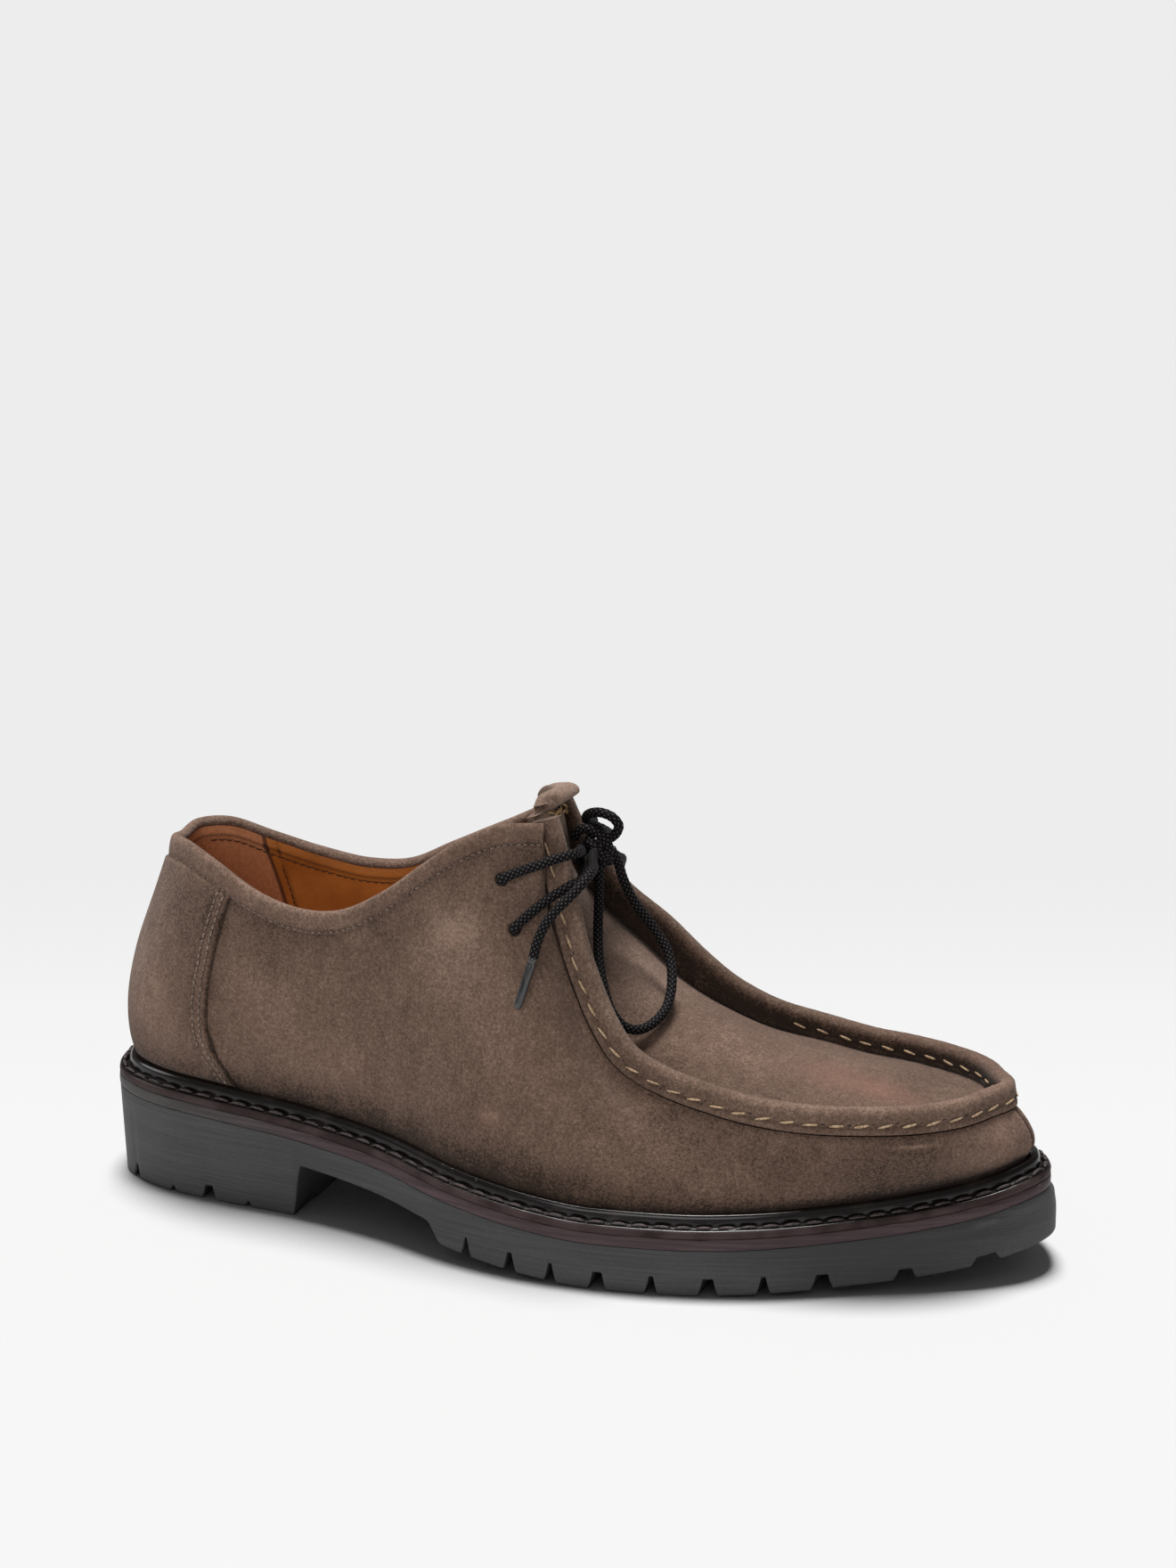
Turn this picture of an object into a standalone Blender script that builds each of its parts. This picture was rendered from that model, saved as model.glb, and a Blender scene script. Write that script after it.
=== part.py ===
"""Right lace-up shoe with a raised apron seam, a storm welt and a lugged rubber sole.

The toe points along +X, the lateral side is -Y and the tread stands on z = 0.
Every ring of the shoe (outsole, midsole, welt, upper, insole) runs through the same stations:
from the back of the heel along the lateral side to the toe, and back along the medial side.
"""

import math

import bmesh
import bpy
import numpy as np

# Sole, in metres
LENGTH = 0.2975  # back of the welt to its toe
BALL_WIDTH = 0.1070  # widest place of the welt, lateral bulge plus medial bulge
HEEL_WIDTH = 0.0680
LUG_HEIGHT = 0.0057  # forefoot tread below the rubber plate
PLATE_THICKNESS = 0.0084
MIDSOLE_THICKNESS = 0.0035
WELT_THICKNESS = 0.0024
HEEL_RISE = 0.0142  # how much higher the seat is than the ball
TOE_SPRING = 0.0120
HEEL_TAPER = 0.0013  # the heel block narrows down to its tread
TOE_FLARE = 0.0020  # the rubber stands out below the toe
HEEL_LENGTH = 0.0700  # back of the welt to the heel breast
TREAD_START = 0.1260  # back of the welt to the first forefoot lug
BREAST_SLANT = 0.0030
TREAD_SLANT = 0.0060
LUG_EDGE_DEPTH = 0.0120  # how far the side notches run in
HEEL_NOTCH_HEIGHT = 0.0044

# Welt and insole
LEDGE_WIDTH = 0.0031  # flat rim outside the bead
BEAD_WIDTH = 0.0035
BEAD_HEIGHT = 0.0036
INSOLE_THICKNESS = 0.0055

# Upper
WALL = 0.0022  # suede and lining
BACK_HEIGHT = 0.0775  # welt to topline at the back
INSTEP_RISE = 0.0365  # ankle dip up to the corner of the facing
TOE_HEIGHT = 0.0364  # welt to the crest of the seam at the toe
COLLAR_WIDTH = 0.0620
APRON_WIDTH = 0.0710
BELLY = 0.0100  # fullness of the side wall
BINDING_HEIGHT = 0.0065
BINDING_THICKNESS = 0.0046
COUNTER_THICKNESS = 0.0012
COUNTER_REACH = 0.0477  # back of the welt to the top of the counter's front edge

# Apron seam and tongue
RIDGE_HEIGHT = 0.0078
RIDGE_THICKNESS = 0.0050
RIDGE_LIP = 0.0005
APRON_THICKNESS = 0.0024
TONGUE_ROLL = 0.0046  # extra thickness of the rolled top
TONGUE_ROLL_HEIGHT = 0.0076

# Laces
LACE_DIAMETER = 0.0030
KNOT_SIZE = 0.0070
AGLET_DIAMETER = 0.0027
AGLET_LENGTH = 0.0160
LACE_SIDES = 8

GAP = 0.0003  # between pieces that touch

# Stations along one side
COLLAR_STATIONS = 17
RIDGE_STATIONS = 23
WALL_ROWS = (0.0, 0.07, 0.16, 0.28, 0.42, 0.57, 0.72, 0.86, 1.0)  # shares of the wall's height
FACING_FOOT = 0.49  # share of a side's outline below the corner of the facing
RIDGE_FREE = 0.035  # share of the seam above the corner of the quarter

# Outline of the welt: along, lateral and medial, as shares of the length and of the local half width
OUTLINE = (
    (0.012, 0.456, 0.400),
    (0.035, 0.676, 0.640),
    (0.080, 0.868, 0.841),
    (0.152, 0.979, 0.941),
    (0.243, 1.053, 0.929),
    (0.334, 1.134, 0.822),
    (0.425, 1.173, 0.727),
    (0.506, 1.121, 0.726),
    (0.587, 1.053, 0.807),
    (0.668, 0.987, 0.929),
    (0.748, 0.856, 0.957),
    (0.829, 0.650, 0.890),
    (0.899, 0.450, 0.758),
    (0.956, 0.240, 0.560),
    (0.988, 0.060, 0.340),
)
TOE_TIP = 0.112  # the tip lies a little to the medial side

# Height of every layer: along, share of HEEL_RISE, share of TOE_SPRING
RISE = (
    (0.000, 1.000, 0.00),
    (0.101, 0.965, 0.00),
    (0.182, 0.875, 0.00),
    (0.253, 0.760, 0.00),
    (0.354, 0.560, 0.00),
    (0.425, 0.330, 0.00),
    (0.496, 0.150, 0.00),
    (0.546, 0.050, 0.00),
    (0.582, 0.000, 0.00),
    (0.673, 0.000, 0.00),
    (0.739, 0.000, 0.05),
    (0.799, 0.000, 0.14),
    (0.840, 0.000, 0.23),
    (0.900, 0.000, 0.41),
    (0.951, 0.000, 0.62),
    (1.000, 0.000, 0.93),
)

# Topline: along, out (share of half the collar width), share of BACK_HEIGHT, share of INSTEP_RISE
TOPLINE_BACK = (0.0630, 0.0, 0.955, 0.00)
TOPLINE_LATERAL = (
    (0.0680, 0.290, 0.973, 0.00),
    (0.097, 0.540, 0.979, 0.00),
    (0.138, 0.730, 0.935, 0.00),
    (0.188, 0.855, 0.853, 0.00),
    (0.239, 0.930, 0.812, 0.00),
    (0.286, 0.975, 0.812, 0.04),
    (0.336, 1.000, 0.812, 0.26),
    (0.380, 0.994, 0.812, 0.54),
    (0.420, 0.962, 0.812, 0.77),
    (0.460, 0.922, 0.812, 0.92),
)
TOPLINE_MEDIAL = (
    (0.0680, 0.290, 0.973, 0.00),
    (0.097, 0.520, 0.968, 0.00),
    (0.138, 0.710, 0.903, 0.00),
    (0.188, 0.838, 0.841, 0.00),
    (0.239, 0.903, 0.806, 0.00),
    (0.286, 0.935, 0.806, 0.03),
    (0.329, 0.952, 0.806, 0.20),
    (0.370, 0.935, 0.806, 0.37),
    (0.413, 0.887, 0.806, 0.55),
)

# Crest of the apron seam, from the tongue to the toe: along, out (share of half the apron width), lift
# between the toe level (0) and the corner of the facing (1)
CREST_LATERAL = (
    (0.513, 0.606, 1.000),
    (0.523, 0.620, 0.876),
    (0.533, 0.648, 0.732),
    (0.544, 0.685, 0.588),
    (0.557, 0.732, 0.444),
    (0.571, 0.775, 0.327),
    (0.588, 0.822, 0.216),
    (0.608, 0.854, 0.131),
    (0.642, 0.896, 0.078),
    (0.682, 0.935, 0.046),
    (0.737, 0.941, 0.013),
    (0.793, 0.882, 0.000),
    (0.844, 0.766, 0.000),
    (0.887, 0.597, 0.000),
    (0.923, 0.366, 0.007),
    (0.943, 0.099, 0.013),
)
CREST_TOE = (0.956, -0.141, 0.017)
CREST_MEDIAL = (
    (0.475, 0.563, 0.915),
    (0.488, 0.592, 0.797),
    (0.508, 0.648, 0.667),
    (0.533, 0.718, 0.549),
    (0.575, 0.817, 0.405),
    (0.612, 0.887, 0.261),
    (0.646, 0.952, 0.157),
    (0.689, 1.014, 0.078),
    (0.740, 1.056, 0.034),
    (0.786, 1.056, 0.005),
    (0.841, 0.986, 0.000),
    (0.884, 0.845, 0.000),
    (0.918, 0.648, 0.005),
    (0.939, 0.394, 0.013),
)

# Side wall fullness: station share from heel (0) to toe (1), low and high, as shares of BELLY
WALL_BELLY = (
    (0.00, 0.84, 0.55),
    (0.08, 0.82, 0.55),
    (0.18, 0.70, 0.40),
    (0.30, 0.50, 0.25),
    (0.42, 0.45, 0.45),
    (0.55, 0.50, 0.60),
    (0.75, 0.50, 0.45),
    (1.00, 0.40, 0.35),
)

# Front edge of the counter: height share of the wall, share of COUNTER_REACH
COUNTER_EDGE = (
    (0.05, 1.000),
    (0.10, 0.970),
    (0.22, 0.885),
    (0.40, 0.855),
    (0.68, 0.905),
    (1.00, 1.000),
)

# Edge of the upper beside the seam: station share from the facing (0) to the toe (1), how far below the
# crest (share of RIDGE_HEIGHT) and how far outside it (share of RIDGE_THICKNESS)
WALL_EDGE = (
    (0.00, 0.56, 1.16),
    (0.05, 0.82, 1.16),
    (0.10, 1.04, 1.14),
    (0.26, 1.04, 0.48),
    (1.00, 1.04, 0.48),
)

# Inner leg of the seam, as a share of RIDGE_HEIGHT, and the crown of the apron, as a share of its local width
APRON_SECTION = (
    (0.00, 1.00, 0.165),
    (0.05, 1.05, 0.140),
    (0.12, 1.20, 0.060),
    (0.18, 1.30, 0.030),
    (0.25, 1.38, 0.055),
    (0.33, 1.38, 0.120),
    (0.44, 1.15, 0.160),
    (0.55, 0.98, 0.110),
    (0.66, 0.92, 0.084),
    (0.80, 0.90, 0.100),
    (0.90, 0.90, 0.080),
    (1.00, 0.90, 0.030),
)

# Side notches of the tread: share of the length and width in metres
HEEL_NOTCHES = ((0.037, 0.0018), (0.136, 0.0032))
FOREFOOT_NOTCHES = (
    (0.453, 0.0016),
    (0.503, 0.0022),
    (0.547, 0.0018),
    (0.596, 0.0034),
    (0.650, 0.0020),
    (0.705, 0.0036),
    (0.757, 0.0020),
    (0.810, 0.0038),
    (0.884, 0.0034),
    (0.953, 0.0034),
)

# Lace routes: along (share of LENGTH), out (share of half the apron width, medial positive), lift between the
# toe level (0) and the corner of the facing (1). The bars run from eyelet to eyelet, the cords from the knot.
UPPER_BAR = (
    (0.4672, -0.904, 0.765),
    (0.4854, -0.890, 0.800),
    (0.5039, -0.870, 0.830),
    (0.5187, -0.811, 0.852),
    (0.5301, -0.713, 0.860),
    (0.5338, -0.608, 0.855),
    (0.5308, -0.479, 0.840),
    (0.5230, -0.296, 0.818),
    (0.5156, -0.141, 0.798),
    (0.5123, 0.014, 0.787),
    (0.5106, 0.169, 0.782),
    (0.5069, 0.366, 0.789),
    (0.5015, 0.507, 0.800),
    (0.4971, 0.614, 0.805),
    (0.4908, 0.715, 0.791),
    (0.4787, 0.817, 0.751),
    (0.4618, 0.879, 0.702),
    (0.4420, 0.918, 0.651),
)
LOWER_BAR = (
    (0.4850, -1.000, 0.592),
    (0.4948, -0.986, 0.631),
    (0.5062, -0.958, 0.672),
    (0.5190, -0.896, 0.712),
    (0.5331, -0.786, 0.746),
    (0.5392, -0.665, 0.754),
    (0.5358, -0.535, 0.761),
    (0.5264, -0.338, 0.761),
    (0.5170, -0.155, 0.760),
    (0.5133, 0.014, 0.759),
    (0.5116, 0.169, 0.755),
    (0.5109, 0.366, 0.743),
    (0.5103, 0.507, 0.738),
    (0.5089, 0.631, 0.730),
    (0.5062, 0.746, 0.698),
    (0.4961, 0.879, 0.640),
    (0.4807, 0.963, 0.579),
    (0.4655, 1.000, 0.524),
)
LARGE_LOOP = (
    (0.5412, 0.042, 0.785),
    (0.5466, 0.096, 0.720),
    (0.5499, 0.146, 0.650),
    (0.5587, 0.214, 0.552),
    (0.5775, 0.262, 0.447),
    (0.5950, 0.225, 0.356),
    (0.6057, 0.070, 0.271),
    (0.6094, -0.141, 0.198),
    (0.6050, -0.338, 0.163),
    (0.5950, -0.507, 0.150),
    (0.5825, -0.608, 0.174),
    (0.5701, -0.625, 0.233),
    (0.5593, -0.546, 0.303),
    (0.5466, -0.375, 0.381),
    (0.5375, -0.197, 0.461),
    (0.5331, -0.079, 0.570),
    (0.5324, -0.045, 0.677),
    (0.5331, -0.045, 0.760),
)
SMALL_LOOP = (
    (0.5429, -0.008, 0.844),
    (0.5496, -0.025, 0.880),
    (0.5526, -0.039, 0.919),
    (0.5466, -0.062, 0.953),
    (0.5351, -0.056, 0.961),
    (0.5237, -0.017, 0.949),
    (0.5150, 0.051, 0.925),
    (0.5109, 0.146, 0.893),
    (0.5139, 0.245, 0.864),
    (0.5220, 0.290, 0.843),
    (0.5304, 0.248, 0.831),
    (0.5334, 0.163, 0.829),
    (0.5331, 0.073, 0.834),
)
LATERAL_END = (
    (0.5304, -0.135, 0.791),
    (0.5358, -0.296, 0.782),
    (0.5439, -0.465, 0.782),
    (0.5492, -0.648, 0.787),
    (0.5479, -0.794, 0.769),
    (0.5385, -0.918, 0.723),
    (0.5271, -1.006, 0.673),
    (0.5183, -1.070, 0.616),
    (0.5129, -1.110, 0.557),
    (0.5099, -1.132, 0.500),
)
MEDIAL_END = (
    (0.5277, 0.068, 0.790),
    (0.5284, 0.225, 0.748),
    (0.5291, 0.394, 0.710),
    (0.5284, 0.549, 0.673),
    (0.5250, 0.693, 0.647),
    (0.5170, 0.839, 0.593),
    (0.5089, 0.952, 0.510),
    (0.5035, 1.037, 0.427),
    (0.4995, 1.093, 0.350),
)
KNOT = (0.5324, -0.028, 0.813)


# Curves and tables
def table(rows):
    """Monotone cubic curves through the rows' columns, as one function of the first column."""
    rows = np.array(rows, float)
    x, y = rows[:, 0], rows[:, 1:]
    step = np.diff(x)[:, None]
    slope = np.diff(y, axis=0) / step
    tangent = np.zeros_like(y)
    same_sign = slope[:-1] * slope[1:] > 0
    mean = (slope[:-1] + slope[1:]) / 2
    limit = 3 * np.minimum(abs(slope[:-1]), abs(slope[1:]))
    tangent[1:-1] = np.where(same_sign, np.sign(mean) * np.minimum(abs(mean), limit), 0)
    tangent[0], tangent[-1] = slope[0], slope[-1]

    def read(at):
        at = np.clip(np.asarray(at, float), x[0], x[-1])
        i = np.clip(np.searchsorted(x, at, side="right") - 1, 0, len(x) - 2)
        t = ((at - x[i]) / step[i, 0])[..., None]
        h = step[i]
        value = (2 * t**3 - 3 * t**2 + 1) * y[i] + (t**3 - 2 * t**2 + t) * h * tangent[i]
        value += (3 * t**2 - 2 * t**3) * y[i + 1] + (t**3 - t**2) * h * tangent[i + 1]
        return np.moveaxis(value, -1, 0)

    return read


def spline(points, dense=24):
    """A dense polyline of the centripetal spline through the points."""
    points = np.array(points, float)
    first, last = 2 * points[0] - points[1], 2 * points[-1] - points[-2]
    p = np.vstack([first, points, last])
    knots = np.concatenate([[0], np.cumsum(np.linalg.norm(np.diff(p, axis=0), axis=1) ** 0.5)])
    out = []
    for i in range(1, len(p) - 2):
        k0, k1, k2, k3 = knots[i - 1 : i + 3]
        t = np.linspace(k1, k2, dense, endpoint=False)[:, None]
        a1 = (k1 - t) / (k1 - k0) * p[i - 1] + (t - k0) / (k1 - k0) * p[i]
        a2 = (k2 - t) / (k2 - k1) * p[i] + (t - k1) / (k2 - k1) * p[i + 1]
        a3 = (k3 - t) / (k3 - k2) * p[i + 1] + (t - k2) / (k3 - k2) * p[i + 2]
        b1 = (k2 - t) / (k2 - k0) * a1 + (t - k0) / (k2 - k0) * a2
        b2 = (k3 - t) / (k3 - k1) * a2 + (t - k1) / (k3 - k1) * a3
        out.append((k2 - t) / (k2 - k1) * b1 + (t - k1) / (k2 - k1) * b2)
    return np.vstack(out + [points[-1:]])


def at_shares(line, shares):
    """Points of a polyline at shares of its length."""
    run = np.concatenate([[0], np.cumsum(np.linalg.norm(np.diff(line, axis=0), axis=1))])
    run /= run[-1]
    return np.stack([np.interp(shares, run, line[:, i]) for i in range(line.shape[1])], axis=1)


def unit(v):
    return v / np.maximum(np.linalg.norm(v, axis=-1, keepdims=True), 1e-12)


def smoothstep(value, start, end):
    t = np.clip((value - start) / (end - start), 0, 1)
    return t * t * (3 - 2 * t)


# Sole outline and its layers
def outline_side(column, sign):
    """One side of the welt's outline in plan, from the back of the heel to the tip of the toe."""
    points = [(0.0, 0.0)]
    for row in OUTLINE:
        half = (HEEL_WIDTH + (BALL_WIDTH - HEEL_WIDTH) * smoothstep(row[0], 0.25, 0.60)) / 2
        points.append((row[0] * LENGTH, sign * row[column] * half))
    points.append((LENGTH, TOE_TIP * BALL_WIDTH / 2))
    return points


def outline_loop():
    """Plan points of the stations and their outward directions."""
    lateral = outline_side(1, -1)
    medial = outline_side(2, 1)[::-1]
    closed = lateral + medial[1:-1]
    ring = closed[-3:] + closed + closed[:4]
    line = spline(ring)
    dense = 24
    start, toe = 3 * dense, (3 + len(lateral) - 1) * dense
    end = (3 + len(closed)) * dense
    shares = side_shares()
    near = at_shares(line[start : toe + 1], shares)
    far = at_shares(line[toe : end + 1], 1 - shares[::-1])
    points = np.vstack([near[:-1], far[:-1]])
    along = unit(np.roll(points, -1, axis=0) - np.roll(points, 1, axis=0))
    outward = np.stack([along[:, 1], -along[:, 0]], axis=1)
    return points, outward


def side_shares():
    collar = np.linspace(0, FACING_FOOT, COLLAR_STATIONS + 1)
    front = np.linspace(FACING_FOOT, 1, RIDGE_STATIONS + 1)
    return np.concatenate([collar, front[1:]])


PLAN, OUTWARD = outline_loop()
HALF = COLLAR_STATIONS + RIDGE_STATIONS  # stations of one side
COUNT = 2 * HALF
RISE_AT = table(RISE)
LEDGE_AT_BALL = LUG_HEIGHT + PLATE_THICKNESS + MIDSOLE_THICKNESS + WELT_THICKNESS + 2 * GAP


def rise(x):
    """Height that the seat and the toe spring add at a distance x from the back."""
    heel, toe = RISE_AT(np.asarray(x) / LENGTH)
    return HEEL_RISE * heel + TOE_SPRING * toe


def ring(inset, height):
    """The stations, moved in by inset and lifted to the ledge's height plus height."""
    inset = np.broadcast_to(inset, COUNT)[:, None]
    flat = PLAN - OUTWARD * inset
    z = LEDGE_AT_BALL + rise(PLAN[:, 0]) + np.broadcast_to(height, COUNT)
    return np.column_stack([flat, z])


FLARE = TOE_FLARE * smoothstep(PLAN[:, 0], 0.80 * LENGTH, LENGTH)
TAPER = HEEL_TAPER * (1 - smoothstep(PLAN[:, 0], 0.20 * LENGTH, 0.45 * LENGTH))
SOLE_LOOPS = (PLAN, PLAN + OUTWARD * FLARE[:, None])
SOLE_POINTS = np.vstack([loop[:, :2] for loop in SOLE_LOOPS])
CENTRE = (SOLE_POINTS.min(axis=0) + SOLE_POINTS.max(axis=0)) / 2
SEAT = LEDGE_AT_BALL + HEEL_RISE
TOE_LEVEL = LEDGE_AT_BALL + TOE_HEIGHT
ANKLE = SEAT + TOPLINE_LATERAL[-1][2] * BACK_HEIGHT
FACING_LEVEL = ANKLE + INSTEP_RISE


# Meshes
def put(points):
    """Shoe coordinates to the part's own frame, whose origin is below the middle of the sole."""
    points = np.array(points, float)
    points[..., :2] -= CENTRE
    return points


def material(name, colour, roughness, metallic=0.0):
    found = bpy.data.materials.get(name)
    if found:
        return found
    made = bpy.data.materials.new(name)
    made.use_nodes = True
    shader = made.node_tree.nodes["Principled BSDF"]
    shader.inputs["Base Color"].default_value = (*colour, 1)
    shader.inputs["Roughness"].default_value = roughness
    shader.inputs["Metallic"].default_value = metallic
    made.diffuse_color = (*colour, 1)
    return made


MATERIALS = {
    "rubber": ((0.070, 0.070, 0.074), 0.70),
    "midsole_leather": ((0.085, 0.050, 0.050), 0.55),
    "welt_leather": ((0.020, 0.017, 0.017), 0.35),
    "suede": ((0.140, 0.098, 0.075), 0.95),
    "lining_leather": ((0.350, 0.120, 0.045), 0.60),
    "lace_cord": ((0.022, 0.022, 0.023), 0.75),
    "aglet_plastic": ((0.020, 0.020, 0.022), 0.30),
}


def make_object(name, vertices, faces, surface):
    """A mesh object from points in shoe coordinates, with its faces turned outwards."""
    mesh = bpy.data.meshes.new(name)
    mesh.from_pydata([tuple(v) for v in put(vertices)], [], [tuple(map(int, f)) for f in faces])
    work = bmesh.new()
    work.from_mesh(mesh)
    bmesh.ops.recalc_face_normals(work, faces=work.faces)
    work.to_mesh(mesh)
    work.free()
    mesh.materials.append(material(surface, *MATERIALS[surface]))
    mesh.shade_smooth()
    mesh.set_sharp_from_angle(angle=math.radians(40))
    made = bpy.data.objects.new(name, mesh)
    bpy.context.scene.collection.objects.link(made)
    return made


def ring_solid(rings):
    """Faces of a closed tube through rings that are each closed and follow each other in a circle."""
    count = len(rings[0])
    vertices = np.vstack(rings)
    faces = []
    for r in range(len(rings)):
        a, b = r * count, (r + 1) % len(rings) * count
        for k in range(count):
            n = (k + 1) % count
            faces.append((a + k, a + n, b + n, b + k))
    return vertices, faces


def cross_strips(start, flip):
    """Faces across one ring of stations, lateral station to medial station."""
    faces = []
    for k in range(1, HALF):
        near, far = start + k, start + COUNT - k
        if k == 1:
            faces.append((start, near, far))
        if k < HALF - 1:
            faces.append((near, near + 1, far - 1, far))
        else:
            faces.append((near, start + HALF, far))
    return [f[::-1] for f in faces] if flip else faces


def plate(rings):
    """A solid through open rings from top to bottom, closed across its first and last ring."""
    vertices = np.vstack(rings)
    faces = cross_strips(0, False)
    for r in range(len(rings) - 1):
        a, b = r * COUNT, (r + 1) * COUNT
        for k in range(COUNT):
            n = (k + 1) % COUNT
            faces.append((a + k, a + n, b + n, b + k))
    faces += cross_strips((len(rings) - 1) * COUNT, True)
    return vertices, faces


def sweep(sections):
    """A closed solid along sections with equal numbers of points, capped at both ends."""
    sides = len(sections[0])
    vertices = np.vstack(sections)
    faces = [tuple(range(sides))[::-1]]
    for s in range(len(sections) - 1):
        a, b = s * sides, (s + 1) * sides
        for k in range(sides):
            n = (k + 1) % sides
            faces.append((a + k, a + n, b + n, b + k))
    faces.append(tuple(range(len(vertices) - sides, len(vertices))))
    return vertices, faces


def prism(profile, low, high):
    """A closed solid of an XZ profile, from low to high along Y."""
    count = len(profile)
    vertices = [(x, low, z) for x, z in profile] + [(x, high, z) for x, z in profile]
    faces = [tuple(range(count)), tuple(range(count, 2 * count))[::-1]]
    faces += [(k, k + count, (k + 1) % count + count, (k + 1) % count) for k in range(count)]
    return vertices, faces


# Sole
def midsole_top():
    return -WELT_THICKNESS - GAP


def rubber_top():
    return midsole_top() - MIDSOLE_THICKNESS - GAP


def arch_cutter():
    """The space below the plate, between the heel breast and the first lug."""
    steps = np.linspace(HEEL_LENGTH + BREAST_SLANT, TREAD_START - TREAD_SLANT, 9)
    plate_bottom = LEDGE_AT_BALL + rubber_top() - PLATE_THICKNESS
    profile = [(x, plate_bottom + float(rise(x))) for x in steps]
    profile += [(TREAD_START, -0.004), (HEEL_LENGTH, -0.004)]
    vertices, faces = prism(profile, -BALL_WIDTH, BALL_WIDTH)
    return make_object("arch_cutter", vertices, faces, "rubber")


def notch_cutter():
    """Slots that run in from both sides of the tread, wider at the ground than at their root."""
    vertices, faces = [], []
    for notches, height in ((HEEL_NOTCHES, HEEL_NOTCH_HEIGHT), (FOREFOOT_NOTCHES, LUG_HEIGHT)):
        for share, width in notches:
            for side in (range(HALF + 1), range(COUNT, HALF - 1, -1)):
                index = [k % COUNT for k in side]
                x, place, outward = PLAN[index, 0], PLAN[index], OUTWARD[index]
                centre = np.array([np.interp(share * LENGTH, x, place[:, i]) for i in (0, 1)])
                outward = unit(np.array([np.interp(share * LENGTH, x, outward[:, i]) for i in (0, 1)]))
                add_notch(vertices, faces, centre, outward, width, height)
    return make_object("notch_cutter", vertices, faces, "rubber")


def add_notch(vertices, faces, centre, outward, width, height):
    across = np.array([-outward[1], outward[0]])
    ground = float(rise(centre[0])) if centre[0] > HEEL_LENGTH else 0.0
    start = len(vertices)
    for reach in (0.004, -LUG_EDGE_DEPTH):
        for z, half in ((-0.003, width * 0.68), (height, width * 0.36)):
            for sign in (-1, 1):
                spot = centre + outward * reach + across * sign * half
                vertices.append((spot[0], spot[1], ground + z))
    a = start
    faces += [(a, a + 1, a + 3, a + 2), (a + 4, a + 6, a + 7, a + 5), (a, a + 4, a + 5, a + 1)]
    faces += [(a + 2, a + 3, a + 7, a + 6), (a, a + 2, a + 6, a + 4), (a + 1, a + 5, a + 7, a + 3)]


def make_outsole():
    """Rubber plate, heel block and forefoot tread as one moulded piece."""
    top = ring(0.0002, rubber_top())
    upper_edge = ring(0.0002 - FLARE * 0.5, rubber_top() - 0.0030)
    x = PLAN[:, 0]
    on_heel = x < (HEEL_LENGTH + TREAD_START) / 2
    tread = np.where(on_heel, 0.0, rise(x))
    inset = TAPER - FLARE
    edge = np.column_stack([PLAN - OUTWARD * inset[:, None], tread + 0.0009])
    sole = np.column_stack([PLAN - OUTWARD * (inset + 0.0009)[:, None], tread])
    vertices, faces = plate([top, upper_edge, edge, sole])
    outsole = make_object("outsole", vertices, faces, "rubber")
    for cutter in (arch_cutter(), notch_cutter()):
        cutter.hide_render = True
        cutter.display_type = "WIRE"
        cut = outsole.modifiers.new(cutter.name, "BOOLEAN")
        cut.object = cutter
        cut.operation = "DIFFERENCE"
        cut.solver = "EXACT"
    return outsole


def make_midsole():
    base = rubber_top() + GAP
    rings = [ring(0.0, midsole_top()), ring(0.0, base)]
    return make_object("midsole", *plate(rings), "midsole_leather")


def make_welt():
    """Flat ledge with a rolled bead standing against the upper."""
    bead_out = LEDGE_WIDTH
    bead_in = LEDGE_WIDTH + BEAD_WIDTH
    profile = (
        (0.0, -WELT_THICKNESS),
        (-0.0002, -WELT_THICKNESS * 0.5),
        (0.0003, 0.0),
        (bead_out, 0.0),
        (bead_out + 0.0001, BEAD_HEIGHT * 0.55),
        (bead_out + BEAD_WIDTH * 0.28, BEAD_HEIGHT * 0.92),
        (bead_out + BEAD_WIDTH * 0.65, BEAD_HEIGHT),
        (bead_in, BEAD_HEIGHT * 0.72),
        (bead_in, -WELT_THICKNESS),
    )
    rings = [ring(inset, height) for inset, height in profile]
    return make_object("welt", *ring_solid(rings), "welt_leather")


def make_insole():
    inset = LEDGE_WIDTH + BEAD_WIDTH + WALL + 4 * GAP
    base = midsole_top() + GAP
    rings = [
        ring(inset + 0.0012, base + INSOLE_THICKNESS),
        ring(inset, base + INSOLE_THICKNESS - 0.0010),
        ring(inset, base),
    ]
    return make_object("insole", *plate(rings), "lining_leather")


# Upper
def crest_line(rows, sign):
    """The seam's crest from the tongue to the middle of the toe."""
    points = []
    for along, out, lift in rows:
        height = TOE_LEVEL + lift * (FACING_LEVEL - 0.0005 - TOE_LEVEL)
        points.append((along * LENGTH, sign * out * APRON_WIDTH / 2, height))
    along, out, lift = CREST_TOE
    points.append((along * LENGTH, -out * APRON_WIDTH / 2, TOE_LEVEL + lift * (FACING_LEVEL - TOE_LEVEL)))
    return points


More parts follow.
